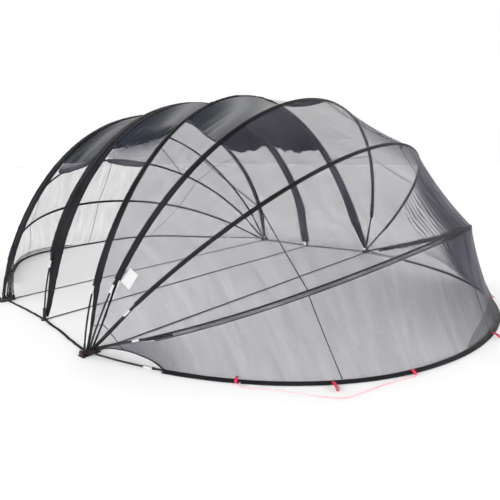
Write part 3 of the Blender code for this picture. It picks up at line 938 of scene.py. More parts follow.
@dataclass(frozen=True)
class Bunch:
    """A stretch between two angles, in degrees, where the net looks closer.

    Attributes:
        close: how much closer.
        span: first and last share across the bay.
        soft: degrees over which it fades.
    """

    start: float
    stop: float
    close: float
    span: Pair = (-0.2, 1.2)
    soft: float = 12.0

    def press(self, v: Array, t: Array, u: Array) -> Arrays:
        """How far the folds draw the sheet in, and how much closer it looks.

        Args:
            v: shares of the panel's length.
            t: angles along the hoops, in degrees.
            u: shares across the bay.

        Returns:
            The depth in metres and the closeness.
        """
        near = window(t, self.start, self.stop, self.soft) * window(u, *self.span, 0.15)
        return np.zeros_like(near), self.close * near


@dataclass(frozen=True)
class EdgeWave:
    """Scallops in the first or last row of a panel.

    Attributes:
        depth: half their depth, in metres, and count: how many lie across the bay.
        seed: which pattern.
        span: first and last share across the bay where they lie.
        sharp: 1 for round ones, more for narrow fingers.
        bow: how far the whole edge draws back at its middle, in metres.
    """

    depth: float
    count: float
    seed: int
    span: Pair = (0.0, 1.0)
    sharp: float = 1.0
    bow: float = 0.0

    def shift(self, u: Array) -> Array:
        """How far the edge lies beyond its mean.

        Args:
            u: shares across the bay.

        Returns:
            The distance in metres at each share.
        """
        phase = self.count * u + 0.5 * ripple(self.seed, u * 2.1)
        wave = 2 * (0.5 + 0.5 * np.sin(2 * math.pi * phase)) ** self.sharp - 1
        size = 0.7 + 0.45 * ripple(self.seed + 1, u * 3.3)
        return self.depth * window(u, *self.span, 0.07) * wave * size - self.bow * 4 * u * (1 - u)


# Panels


@dataclass
class Panel:
    """A sheet of net or cloth between two neighbouring hoops.

    Attributes:
        rear: the hoop on its rear side, and front: the one on its front side.
        start: the first angle on both hoops, in degrees, or None for the hub.
        end: the last angle on both hoops, in degrees, or None for the hub.
        sag: how far the middle draws in, as a share of the bay's width.
        rows: points along the bay, and columns: points across it.
        fine: the angles between which the rows are closest.
        first_edge: scallops in the first row, and last_edge: in the last one.
        span: the first and last share across the bay that it covers.
        lift: how far it stands off, outwards, in metres.
        taper: the shares of the length over which its first and last end narrow to nothing.
    """

    name: str
    rear: Hoop
    front: Hoop
    start: Pair | None = None
    end: Pair | None = None
    sag: float = 0.03
    folds: tuple[Gathers | Pulls | Rays | Bunch, ...] = ()
    rows: int = 190
    columns: int = 28
    fine: Pair | None = None
    first_edge: EdgeWave | None = None
    last_edge: EdgeWave | None = None
    span: Pair = (0.0, 1.0)
    lift: float = 0.0
    taper: Pair | None = None

    def runs(self, share: Array) -> Arrays:
        """The runs on both hoops.

        Args:
            share: shares of the panel's length.

        Returns:
            The runs on the rear hoop and on the front one.
        """
        low = (0.0, 0.0)
        high = (3.0, 3.0)
        if self.start:
            low = (self.rear.run(self.start[0]), self.front.run(self.start[1]))
        if self.end:
            high = (self.rear.run(self.end[0]), self.front.run(self.end[1]))
        return (low[0] + (high[0] - low[0]) * share, low[1] + (high[1] - low[1]) * share)

    def degrees(self, share: Array) -> Array:
        """The mean angle of the two hoops at shares of the length, in degrees."""
        on_rear, on_front = self.runs(share)
        return np.degrees(self.rear.angle(on_rear) + self.front.angle(on_front)) / 2

    def share_at(self, degrees: float) -> float:
        """The share of the length where the mean angle has a value in degrees."""
        shares = np.linspace(0, 1, 400)
        return float(np.interp(degrees, self.degrees(shares), shares))

    def shares(self) -> Array:
        """Shares of the length for the rows: even in the angle, closer in the fine stretch.

        Returns:
            One share for each row.
        """
        probe = np.linspace(0, 1, 3000)
        angle = self.degrees(probe)
        weight = np.gradient(angle) + 0.02
        if self.fine:
            weight = weight * (1 + 2.6 * window(angle, *self.fine, 6.0))
        total = np.concatenate([[0], np.cumsum((weight[1:] + weight[:-1]) / 2)])
        return np.interp(np.linspace(0, 1, self.rows), total / total[-1], probe)

    def edges(self, v: Array) -> Arrays:
        """The sheet's two edges.

        Args:
            v: shares of the length.

        Returns:
            The points on the rear hoop and on the front one.
        """
        on_rear, on_front = self.runs(v.ravel())
        shape = (*v.shape, 3)
        return (self.rear.cloth_edge(on_rear, 1).reshape(shape),
                self.front.cloth_edge(on_front, -1).reshape(shape))

    def surface(self, v: Array, u: Array) -> Arrays:
        """Points of the sheet's middle.

        Args:
            v: shares of the length.
            u: shares of the bay, from rear to front, in the same shape.

        Returns:
            The points, and how much closer the weave looks at each.
        """
        left, right = self.edges(v)
        points = left * (1 - u[..., None]) + right * u[..., None]
        hub = np.array([(self.rear.hub[0] + self.front.hub[0]) / 2, 0.0, PIVOT_HEIGHT])
        width = np.linalg.norm(right - left, axis=-1)
        inward = unit(hub - (left + right) / 2)
        depth = self.sag * width * 4 * u * (1 - u) - self.lift
        close = np.zeros_like(depth)
        t = self.degrees(v)
        for fold in self.folds:
            pressed, closer = fold.press(v, t, u)
            depth, close = depth + pressed, close + closer
        return points + inward * depth[..., None], np.clip(close, 0, CLOSEST)

    def grid(self) -> Arrays:
        """The places of the sheet's points.

        Returns:
            The shares along and across, as rows by columns.
        """
        across = np.linspace(*self.span, self.columns)
        v, u = np.meshgrid(self.shares(), across, indexing="ij")
        middle = self.surface(self.shares()[:, None], np.full((self.rows, 1), 0.5))[0][:, 0]
        length = travelled(middle)[-1]
        if self.taper:
            narrow = np.clip(np.minimum(v / self.taper[0], (1 - v) / self.taper[1]), 0.02, 1)
            fixed = 0.0 if self.span[0] == 0.0 else 1.0
            u = fixed + (u - fixed) * np.sqrt(narrow)
        if self.first_edge:
            v = v - self.first_edge.shift(u) / length * np.exp(-v * 14)
        if self.last_edge:
            v = v + self.last_edge.shift(u) / length * np.exp((v - 1) * 14)
        return v, u

    def out(self) -> Array:
        """A direction that faces outwards at the panel's middle."""
        middle = self.surface(np.array([[0.5]]), np.array([[0.5]]))[0][0, 0]
        return middle - np.array([(self.rear.hub[0] + self.front.hub[0]) / 2, 0.0, 0.0])

    def hang(self, piece: Piece) -> None:
        """Lets a piece move with the hoops' one body, or only bakes its placement if they differ.

        Args:
            piece: the piece.
        """
        if self.rear.body == self.front.body:
            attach(piece, self.rear.body)
            return
        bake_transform(piece)

    def sheet(self, finish: ClothFinish, thickness: float,
              node: str | None = None, inside: ClothFinish | None = None) -> None:
        """Args:
            finish: its cloth.
            thickness: the sheet's thickness.
            node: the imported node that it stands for.
            inside: the look of its inner face, where that differs.
        """
        points, close = self.surface(*self.grid())
        piece, area = shell(self.name, points, thickness, finish.make(), self.out(), close,
                            inside.make() if inside else None)
        if node:
            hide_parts(node)
        self.hang(piece)

    def tape(self, name: str, share: float, width: float, finish: ClothFinish) -> None:
        """A seam tape across the bay, round the sheet.

        Args:
            name: the piece's name.
            share: where it lies, as a share of the length.
            width: the tape's width in metres.
            finish: its cloth.
        """
        probe = np.linspace(0, 1, 60)
        middle = self.surface(probe[:, None], np.full((60, 1), 0.5))[0][:, 0]
        near = np.interp(share, probe, travelled(middle))
        bounds = np.interp([near - width / 2, near + width / 2], travelled(middle), probe)
        v, u = np.meshgrid(np.linspace(*bounds, 3), np.linspace(*self.span, self.columns * 2),
                           indexing="ij")
        piece, _ = shell(name, self.surface(v, u)[0], TAPE_THICKNESS, finish.make(), self.out())
        self.hang(piece)
        LOG.info("%s: tape across the bay", name)


@dataclass
class WallPanel(Panel):
    """A far wall: below the sleeves it hangs straight to the ground between the two feet.

    Attributes:
        corner: how far its lower corners lie from the feet.
        inset: how far its lower edge lies inside the feet, and bottom: the height of that edge.
        split: the share of its length where the sleeves end.
        uneven_from: the share where its lower edge begins to wave, and uneven: how far.
    """

    corner: float = 0.028
    inset: float = 0.050
    bottom: float = 0.0066
    split: float = 0.62
    uneven_from: float = 0.93
    uneven: float = 0.007

    def edges(self, v: Array) -> Arrays:
        """The wall's two edges.

        Args:
            v: shares of the length.

        Returns:
            The points on the rear hoop and on the front one.
        """
        upper, lower = np.minimum(v / self.split, 1.0), np.clip(
            (v - self.split) / (1 - self.split), 0, 1)[..., None]
        pair = []
        for hoop, angle, side in ((self.rear, self.start[0], 1), (self.front, self.start[1], -1)):
            run = hoop.run(angle) * (1 - upper) + 2.0 * upper
            sewn = hoop.cloth_edge(run.ravel(), side).reshape(*v.shape, 3)
            foot = hoop.point(np.array([math.pi]))[0]
            foot = np.array([foot[0] + side * self.corner, foot[1] - self.inset, self.bottom])
            pair.append(sewn * (1 - lower) + foot * lower)
        return pair[0], pair[1]

    def surface(self, v: Array, u: Array) -> Arrays:
        """Points of the wall's middle, with an uneven lower edge.

        Args:
            v: shares of the length.
            u: shares of the bay, from rear to front, in the same shape.

        Returns:
            The points, and how much closer the weave looks at each.
        """
        points, close = super().surface(v, u)
        low = np.clip((v - self.uneven_from) / (1 - self.uneven_from), 0, 1)
        wave = self.uneven * (1 + ripple(61, u * 5.0)) * np.sin(math.pi * u) ** 0.5
        points[..., 2] = np.maximum(points[..., 2] + low * wave, self.bottom)
        return points, close

    def degrees(self, share: Array) -> Array:
        """The angle on the front hoop at shares of the length, in degrees."""
        run = np.interp(share, (0, self.split, 1), (self.front.run(self.start[1]), 2.0, 3.0))
        return np.degrees(self.front.angle(run))


# Hard pieces


def draw_curve(curve: bpy.types.Curve, points: Array, radius: float, roundness: int) -> None:
    """Gives a curve one straight-sided line of points, made solid.

    Args:
        curve: the curve.
        points: the points.
        radius: the radius of its section.
        roundness: how finely that section is rounded.
    """
    line = curve.splines.new("POLY")
    line.points.add(len(points) - 1)
    line.points.foreach_set("co", np.c_[points, np.ones(len(points))].ravel())
    curve.bevel_depth = radius
    curve.bevel_resolution = roundness
    curve.use_fill_caps = True


def deselect() -> None:
    """Leaves nothing selected."""
    for item in list(bpy.context.selected_objects):
        item.select_set(False)


def solid(kind: str, centre: Array, scale: Triple = (1.0, 1.0, 1.0),
          along: Array | None = None, **settings: float) -> Piece:
    """A primitive body, placed and sized in its mesh.

    Args:
        kind: plane, cube, cylinder, cone or torus.
        centre: where its middle lies.
        scale: its scale along each axis.
        along: the direction of its own Z axis.
        settings: the primitive's own sizes.

    Returns:
        The object, with its origin at the scene's.
    """
    deselect()
    getattr(bpy.ops.mesh, f"primitive_{kind}_add")(location=tuple(centre), **settings)
    item = bpy.context.object
    item.scale = scale
    if along is not None:
        item.rotation_mode = "QUATERNION"
        item.rotation_quaternion = Vector((0, 0, 1)).rotation_difference(Vector(along))
    bpy.ops.object.transform_apply(location=True, rotation=True, scale=True)
    return item


def choose(item: Piece) -> None:
    """Leaves one object selected and active."""
    deselect()
    item.select_set(True)
    bpy.context.view_layer.objects.active = item


def apply_modifier(item: Piece, kind: str, **settings: object) -> None:
    """Adds a modifier, sets it and applies it.

    Args:
        item: the object.
        kind: the modifier's type.
        settings: its own properties.
    """
    modifier = item.modifiers.new(kind.lower(), kind)
    for name, value in settings.items():
        setattr(modifier, name, value)
    choose(item)
    bpy.ops.object.modifier_apply(modifier=modifier.name)


def hard_piece(name: str, bodies: list[Piece], finish: HardFinish, slot: str,
               body: str, bevel: float = 0.0012, node: str | None = None) -> None:
    """One piece of several bodies, with rounded edges.

    Args:
        name: the piece's name.
        bodies: the bodies that it is made of.
        finish: its material.
        slot: the record's material slot.
        body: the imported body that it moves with.
        bevel: how far its edges are rounded, in metres.
        node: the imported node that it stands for.
    """
    item, *others = bodies
    for other in others:
        apply_modifier(item, "BOOLEAN", operation="UNION", object=other, solver="EXACT")
        bpy.data.objects.remove(other)
    if bevel:
        apply_modifier(item, "BEVEL", width=bevel, segments=2, limit_method="ANGLE")
    item.name = name
    choose(item)
    bpy.ops.object.shade_smooth_by_angle(angle=SMOOTH_BELOW)
    item.data.materials.clear()
    item.data.materials.append(finish.make())
    declare(item, slot, body, node)


@dataclass(frozen=True)
class PivotHub:
    """A ground plate with two rounded cheeks and the pin that the poles' eyes turn on.

    Cheeks and heads are placed by their distance from the hub's middle. The pin and its heads are
    a radius and a length.
    """

    name: str
    x: float
    y: float
    plate: Triple = (0.080, 0.160, 0.008)
    cheek: Triple = (0.050, 0.010, 0.027)
    cheek_at: float = 0.071
    round_height: float = 0.031
    head: Pair = (0.0095, 0.005)
    head_at: float = 0.0775
    pin: Pair = (0.006, 0.150)

    def turned(self, away: float, height: float, size: Pair,
               facets: int = 24) -> Piece:
        """A cylinder of a radius and length that lies along the pin, away from the middle."""
        return solid("cylinder", (self.x, self.y + away, height), along=ACROSS, radius=size[0],
                     depth=size[1], vertices=facets)

    def build(self) -> None:
        """Makes the hub."""
        low = self.plate[2] / 2
        bodies = [solid("cube", (self.x, self.y, low), self.plate, size=1.0)]
        for side in (-1, 1):
            bodies += [
                solid("cube", (self.x, self.y + side * self.cheek_at, (low + self.round_height) / 2),
                      self.cheek, size=1.0),
                self.turned(side * self.cheek_at, self.round_height,
                            (self.cheek[0] / 2, self.cheek[1]), 40),
                self.turned(side * self.head_at, PIVOT_HEIGHT, self.head),
            ]
        bodies.append(self.turned(0.0, PIVOT_HEIGHT, self.pin))
        hard_piece(f"{self.name}_moulding", bodies, MOULDED, "hub", "base", 0.0015, self.name)


@dataclass(frozen=True)
class ArchFoot:
    """A round foot with a tall collared socket for the middle arch's pole.

    The socket and the collar are radii and a length, placed by the distance up the pole.
    """

    side: Side
    disc: Pair = (0.034, 0.008)
    socket: Triple = (0.0165, 0.0145, 0.110)
    socket_at: float = 0.030
    collar: Pair = (0.0170, 0.014)
    collar_at: float = 0.080

    def build(self) -> None:
        """Makes the foot."""
        turn = 0.0 if self.side is Side.NEAR else math.pi
        root, above = MIDDLE_ARCH.point(np.array([turn, abs(turn - 0.03)]))
        along = unit(above - root)
        bodies = [
            solid("cylinder", (root[0], root[1], self.disc[1] / 2), radius=self.disc[0],
                  depth=self.disc[1], vertices=48),
            solid("cone", root + along * self.socket_at, along=along, radius1=self.socket[0],
                  radius2=self.socket[1], depth=self.socket[2], vertices=32),
            solid("cylinder", root + along * self.collar_at, along=along, radius=self.collar[0],
                  depth=self.collar[1], vertices=32),
        ]
        node = f"middle_foot_{self.side.tag}"
        hard_piece(f"{node}_moulding", bodies, MOULDED, "hub", "base", node=node)


# Poles and covers


@dataclass
class PoleSet:
    """A hoop's pole with its ferrules and ends, and the sleeve and bands of cloth along it.

    An eye is the radius of its ring and of its section, and its socket is two radii and a length.
    A cover's face is its height beside the pole, the rise over it, and how wide that rise is. Its
    second line of points lies first_step from the pole. A band ends band_root inside the pole's
    end, and the rear arch's near band stands band_gap off its pole.
    """

    hoop: Hoop
    ferrule_length: float = 0.075
    ferrule_radius: float = 0.0098
    collar_rim: float = 0.0012
    roundness: int = 5
    pin_gap: float = 0.011
    eye: Pair = (0.01125, 0.00475)
    eye_width: float = 1.47
    socket: Triple = (0.0098, 0.0092, 0.054)
    socket_at: float = 0.040
    rows: int = 260
    sleeve_face: Triple = (0.0015, 0.0088, 0.0125)
    hem_face: Triple = (-0.0085, 0.0180, 0.016)
    hem_under: float = -0.0122
    hem_half: float = 0.030
    first_step: float = 0.008
    crease: float = 0.0042
    band_root: float = 0.018
    band_gap: float = 0.014
    band_thickness: float = 0.003
    buckle: float = 0.004

    def bent_tube(self, name: str, t: Array, radius: float, finish: HardFinish, slot: str,
                  node: str | None = None) -> None:
        """A round tube along part of the pole, bent as a curve and made a mesh.

        Args:
            name: the piece's name.
            t: angles along the hoop.
            radius: the tube's radius.
            finish: its material.
            slot: the record's material slot.
            node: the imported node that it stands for.
        """
        deselect()
        bpy.ops.curve.primitive_nurbs_path_add(location=(0, 0, 0))
        item = bpy.context.object
        item.name = name
        item.data.splines.clear()
        draw_curve(item.data, self.hoop.point(t), radius, self.roundness)
        bpy.ops.object.convert(target="MESH")
        item = bpy.context.object
        item.data.shade_smooth()
        bpy.ops.object.shade_smooth_by_angle(angle=SMOOTH_BELOW)
        item.data.materials.clear()
        item.data.materials.append(finish.make())
        declare(item, slot, self.hoop.body, node)

    def pole(self) -> None:
        """The bent rod. The middle arch's goes just into its feet."""
        hoop = self.hoop
        start = self.pin_gap / hoop.rise if hoop.pivots else -0.0004
        self.bent_tube(f"{hoop.name}_rod", np.linspace(start, math.pi - start, 150), POLE_RADIUS,
                       POLE, "pole", f"{hoop.name}_pole")

    def ends(self) -> None:
        """The metal joint with its collar in each leg, and the eyes on the pins."""
        hoop = self.hoop
        half = self.ferrule_length / 2 / hoop.rise
        at = math.radians(hoop.ferrule_at)
        for side, middle, way in ((Side.NEAR, at, 1), (Side.FAR, math.pi - at, -1)):
            name = f"{hoop.name}_{{}}_{side.tag}"
            self.bent_tube(name.format("ferrule"), np.linspace(middle - half, middle + half, 5),
                           self.ferrule_radius, FERRULE, "ferrule")
            self.bent_tube(name.format("collar"), middle + way * half * np.linspace(1.0, 1.5, 3),
                           self.ferrule_radius + self.collar_rim, MOULDED, "hub")
            if not hoop.pivots:
                continue
            end, beyond = hoop.point(np.array([0.0, 0.02]) if way > 0
                                     else np.array([math.pi, math.pi - 0.02]))
            along = unit(beyond - end)
            eye = solid("torus", end, (1, 1, self.eye_width), ACROSS, major_radius=self.eye[0],
                        minor_radius=self.eye[1], major_segments=40, minor_segments=14)
            socket = solid("cone", end + along * self.socket_at, along=along,
                           radius1=self.socket[0], radius2=self.socket[1],
                           depth=self.socket[2], vertices=24)
            hard_piece(name.format("eye"), [eye, socket], MOULDED, "hub", hoop.body, 0.0)

    def profile(self, x: Array) -> Arrays:
        """How far the cover's two faces stand from the pole's centre line.

        Args:
            x: distances across from the pole.

        Returns:
            The heights of the outer face and of the inner one.
        """
        beside, rise, width = self.hem_face if self.hoop.on_ground else self.sleeve_face
        face = beside + rise * np.exp(-((x / width) ** 2))
        return face, np.full_like(x, self.hem_under) if self.hoop.on_ground else -face

    def creases(self, seed: int, run: Array, across: Array) -> Array:
        """The cover's creases: slanting folds that are deepest near its ends, and small ones.

        Args:
            seed: which pattern.
            run: distances along the hoop, as rows by columns.
            across: distances across the cover, in the same shape.

        Returns:
            How far the cover rises at each place, in metres.
        """
        first, last = run[0, 0], run[-1, 0]
        deep = np.exp(-((run - first) / 0.35) ** 2) + np.exp(-((run - last) / 0.35) ** 2)
        if self.hoop is MAIN_ARCH:
            deep = deep + 1.3 * np.exp(-((run - run[:, 0].mean()) / 0.8) ** 2)
        slant = run * 13.0 + across * 26.0
        folds = np.abs(ripple(seed + 1, slant, across * 9)) ** 1.5 * (0.5 + 0.9 * deep)
        small = 0.5 * np.abs(ripple(seed + 2, run * 21.0 - across * 40.0, across * 5))
        return self.crease * (folds + small) * (0.25 if self.hoop.on_ground else 1.0)

    def cover(self) -> None:
        """The sleeve or hem: a flat creased tube of cloth that bulges over the pole."""
        hoop = self.hoop
        start = math.radians(hoop.sleeve_start)
        t = np.linspace(start, math.pi - start, self.rows)
        centre, outward, _ = hoop.frames(t)
        half, (wide, high) = hoop.half_width(t), hoop.across(t)
        if hoop.on_ground:
            half, wide, high = np.full(self.rows, self.hem_half), outward, np.array([UPWARDS])
        power = max(1.0, math.log(self.first_step / half[self.rows // 2]) / math.log(0.2))
        step = np.linspace(-1, 1, 11)
        step = np.sign(step) * np.abs(step) ** power
        step = np.concatenate([step, step[-2:0:-1]])
        outer = np.arange(len(step)) < 11
        seed = sum(ord(letter) for letter in hoop.name)
        run, across = np.meshgrid(t * hoop.rise, step, indexing="ij")
        across = across * half[:, None]
        edge = 1 + 0.04 * ripple(seed, run * 1.9) + 0.02 * ripple(seed + 4, run * 7.0)
        place = across * edge + hoop.offset(t)[:, None]
        top, bottom = self.profile(place)
        soft = self.creases(seed, run, across)
        lift = np.where(outer, top + soft, bottom - (0 if hoop.on_ground else 0.4) * soft)
        rings = centre[:, None] + wide[:, None] * place[..., None]
        rings = rings + high[:, None] * lift[..., None]
        mouths = [centre[row] + (rings[row] - centre[row]) * 0.02 for row in (0, -1)]
        rings = np.concatenate([mouths[0][None], rings, mouths[1][None]])
        finish, close = SLEEVE, None
        if hoop is FRONT_3:
            finish = NET_BAND
            far = window(np.degrees(t), 86.0, 175.0, 14.0)[:, None]
            close = far * 0.30 + 0.12 * ripple(seed + 3, run * 3.0, across * 12)
            close = np.concatenate([close[:1], close, close[-1:]])
        item = tube(f"{hoop.name}_cover", rings, finish.make(), close)
        kind = "hem" if hoop.on_ground else "sleeve"
        declare(item, "sleeve", hoop.body, f"{hoop.name}_{kind}")

    def bands(self) -> None:
        """The strips of cloth from each end of the sleeve down to the hub."""
        hoop = self.hoop
        share, columns = np.linspace(0, 1, 36), np.linspace(-1, 1, 7)
        for side, first, last, (top, foot) in ((Side.NEAR, -0.02, 1.03, hoop.near.band),
                                               (Side.FAR, 3.02, 1.97, hoop.far.band)):
            q = np.clip(first + (last - first) * share, 0.0, 3.0)
            middle = (hoop.cloth_edge(q, -1) + hoop.cloth_edge(q, 1)) / 2
            across = hoop.across(hoop.angle(q[-3:-2]))[0]
            if hoop is REAR_ARCH and side is Side.NEAR:
                off = hoop.across(hoop.angle(q))[1] * self.band_gap
                middle = hoop.point(hoop.angle(q)) + off
            end, outward, _ = hoop.frames(hoop.angle(q[:1]) * (0 if side is Side.NEAR else 1))
            root = end - outward * self.band_root
            middle = middle + (1 - share)[:, None] ** 6 * (root - middle)
            wide = foot + (top - foot) * share ** 1.3
            wide = wide * (1 + 0.08 * ripple(len(hoop.name), share * 3.0))
            grid = middle[:, None] + across[:, None] * (wide[:, None] * columns / 2)[..., None]
            out = middle[18] - np.array([hoop.hub[0], 0.0, 0.0])
            wave = self.buckle * ripple(31, share[:, None] * 5.0, columns[None] * 0.4)
            grid = grid + unit(out) * wave[..., None] * np.sin(math.pi * share)[:, None, None]
            strip(f"{hoop.name}_band_{side.tag}", grid, self.band_thickness, SLEEVE, out,
                  "sleeve", hoop.body)

    def build(self) -> None:
        """Makes every piece of this hoop. The hoops on the ground have no bands."""
        self.pole()
        self.ends()
        self.cover()
        if not self.hoop.on_ground:
            self.bands()


@dataclass(frozen=True)
class NetSleeveTrim:
    """The dark tape along the front edge of a net sleeve, and the roll of bunched net beside it.

    The roll gets thicker towards the far hub. Its knot is an angle, a width in degrees and an
    extra radius, and roll_off is how far it lies in front of the sleeve's middle, and inside it.
    """

    hoop: Hoop
    tape_angles: Pair = (17.5, 162.5)
    tape_half: float = 0.0035
    tape_edge: float = 0.001
    tape_thickness: float = 0.005
    roll_angles: Pair = (98.0, 171.0)
    roll_size: float = 0.004
    roll_growth: float = 0.018
    knot: Triple = (121.0, 8.0, 0.012)
    roll_off: Pair = (0.006, 0.014)

    def tape(self) -> None:
        """The tape."""
        hoop = self.hoop
        centre, outward, forward = hoop.frames(np.radians(np.linspace(*self.tape_angles, 240)))
        line = centre + forward * (hoop.shift + hoop.sleeve_width / 2 - self.tape_edge)
        columns = np.linspace(-1, 1, 3)[None, :, None]
        strip(f"{hoop.name}_trim", line[:, None] + forward[:, None] * columns * self.tape_half,
              self.tape_thickness, SLEEVE, outward[120], "sleeve", hoop.body)

    def roll(self) -> None:
        """The bunched net."""
        hoop, degrees = self.hoop, np.linspace(*self.roll_angles, 200)
        centre, outward, forward = hoop.frames(np.radians(degrees))
        run = (np.radians(degrees) * hoop.rise)[:, None]
        at, width, extra = self.knot
        size = self.roll_size + self.roll_growth * window(degrees, 97.0, 190.0, 18.0)[:, None]
        size = size + extra * np.exp(-(((degrees - at) / width) ** 2))[:, None]
        turn = np.linspace(0, 2 * math.pi, 14, endpoint=False)[None]
        size = size * (1 + 0.30 * ripple(71, run * 6.0, turn / 6.3)
                       + 0.18 * np.sin(turn * 3 + run * 60))
        middle = centre + forward * (hoop.shift + self.roll_off[0]) - outward * self.roll_off[1]
        rings = middle[:, None] + forward[:, None] * (1.35 * size * np.cos(turn))[..., None]
        rings = rings + outward[:, None] * (0.7 * size * np.sin(turn))[..., None]
        declare(tube(f"{hoop.name}_bunch", rings, SLEEVE.make()), "mesh_cloth", hoop.body)

    def build(self) -> None:
        """Makes the tape and the roll."""
        self.tape()
        self.roll()


# Camera, light, floor


@dataclass(frozen=True)
class Studio:
    """The camera, the light and the floor.

    Angles are in degrees, and the focal length is in pixels of the picture. Heights in the light
    are sines: the walls turn into the ceiling over wall_top, and gloss holds the bands of light
    that show in glossy cloth. The floor gets darker over floor_range, from the middle outwards.
    """

    eye: Triple = (4.161, -4.273, 1.592)
    yaw: float = 130.278
    pitch: float = 11.950
    roll: float = -0.364
    focal: float = 450.86
    picture: float = 500.0
    sensor: float = 36.0
    sight: float = 300.0
    walls: float = 5.2
    ceiling: float = 0.12
    wall_top: Pair = (0.48, 0.70)
    gloss: tuple[Pair, ...] = (
        (0.0, 0.90), (0.15, 1.0), (0.32, 0.8), (0.50, 0.5), (0.62, 1.9), (0.75, 0.4), (1.0, 0.1))
    floor_size: float = 120.0
    floor_drop: float = 0.0006
    floor_range: Pair = (3.6, 8.0)
    # The floor's tone near and far: darker far off, which is painted shade
    floor_tones: Pair = (0.68, 0.58)
    layers: int = 48

    def camera(self) -> None:
        """Sets the camera where the photograph was taken."""
        yaw, pitch, roll = (math.radians(a) for a in (self.yaw, self.pitch, self.roll))
        ahead = Vector((math.cos(pitch) * math.cos(yaw), math.cos(pitch) * math.sin(yaw),
                        -math.sin(pitch)))
        right = Vector((math.sin(yaw), -math.cos(yaw), 0.0))
        up = right.cross(ahead)
        right, up = (right * math.cos(roll) + up * math.sin(roll),
                     up * math.cos(roll) - right * math.sin(roll))
        turn = Matrix((right, up, -ahead)).transposed().to_4x4()
        data = bpy.data.cameras.new("camera")
        data.sensor_width = self.sensor
        data.lens = self.sensor * self.focal / self.picture
        data.clip_end = self.sight
        camera = bpy.data.objects.new("camera", data)
        camera.matrix_world = Matrix.Translation(Vector(self.eye)) @ turn
        bpy.context.scene.collection.objects.link(camera)
        bpy.context.scene.camera = camera

    def surround(self) -> None:
        """White behind the object; bright walls and a dim ceiling for its light."""
        graph = Graph(bpy.data.worlds.new("surround"))
        way = graph.add("TexCoord").outputs["Generated"]
        height = graph.add("SeparateXYZ", {0: way}).outputs["Z"]
        light = graph.add("MapRange", {
            "Value": height, "From Min": self.wall_top[0], "From Max": self.wall_top[1],
            "To Min": self.walls, "To Max": self.ceiling}, interpolation_type="SMOOTHSTEP")
        light = light.outputs["Result"]
        bands = graph.add("FloatCurve", {"Value": height})
        strongest = max(strength for _, strength in self.gloss)
        points = bands.mapping.curves[0].points
        for number, (sine, strength) in enumerate(self.gloss):
            at = (sine, strength / strongest)
            if 0 < number < len(self.gloss) - 1:
                points.new(*at)
            else:
                points[0 if number == 0 else -1].location = at
        bands.mapping.update()
        bright = graph.add("Math", {0: bands.outputs["Value"], 1: strongest},
                           operation="MULTIPLY").outputs[0]
        rays = graph.add("LightPath").outputs
        for ray, strength in (("Is Glossy Ray", bright), ("Is Camera Ray", 1.0)):
            pick = graph.add("Mix", {"Factor": rays[ray], "A": light, "B": strength},
                             data_type="FLOAT")
            light = pick.outputs["Result"]
        graph.put(graph.nodes["Background"], {"Color": (1, 1, 1, 1), "Strength": light})
        graph.owner.cycles.sampling_method = "NONE"
        bpy.context.scene.world = graph.owner

    def floor(self) -> None:
        """A plain pale floor, a little darker far off, which is painted shade."""
        item = solid("plane", (0, 0, -self.floor_drop), size=self.floor_size)
        item.name = "floor"
        graph = Graph(bpy.data.materials.new("pale_floor"))
        place = graph.add("TexCoord").outputs["Object"]
        far = graph.add("VectorMath", {0: place}, operation="LENGTH").outputs["Value"]
        # Painted shade: darker far off, where the floor gets more light than beside the dome
        tone = graph.add("MapRange", {
            "Value": far, "From Min": self.floor_range[0], "From Max": self.floor_range[1],
            "To Min": self.floor_tones[0], "To Max": self.floor_tones[1]})
        graph.put(graph.nodes["Principled BSDF"], {
            "Base Color": tone.outputs["Result"], "Roughness": 0.9, "Specular IOR Level": 0.0})
        item.data.materials.append(graph.owner)

    def build(self) -> None:
        """Makes the camera, the light and the floor."""
        self.camera()
        self.surround()
        self.floor()
        scene = bpy.context.scene
        scene.view_settings.view_transform = "Standard"
        scene.cycles.transparent_max_bounces = self.layers
        LOG.info("camera, light and floor")


# Straps, loops and tags


@dataclass(frozen=True)
class Strap:
    """A flat woven strap on the ground that strays a little from a straight line."""

    node: str
    start: Pair
    end: Pair
    width: float = 0.025
    thickness: float = 0.0018
    height: float = 0.0041
    wander: float = 0.008
    ripples: float = 0.0006

    def build(self) -> None:
        """Lays the strap."""
        share = np.linspace(0, 1, 60)[:, None]
        start, end = (np.array([*point, self.height]) for point in (self.start, self.end))
        line = start + (end - start) * share
        across = unit(np.cross((end - start)[None], np.array([UPWARDS])))
        seed = sum(ord(letter) for letter in self.node)
        bow = self.wander * ripple(seed, share[:, 0] * 2.0) * np.sin(math.pi * share[:, 0])
        columns = np.linspace(-0.5, 0.5, 5)
        grid = line[:, None] + across[:, None] * (bow[:, None] + self.width * columns)[..., None]
        grid[..., 2] += self.ripples * (1 + ripple(seed + 1, share * 14.0, columns[None]))
        strip(f"{self.node}_webbing", grid, self.thickness, WEBBING, np.array(UPWARDS), "webbing",
              "base", self.node)


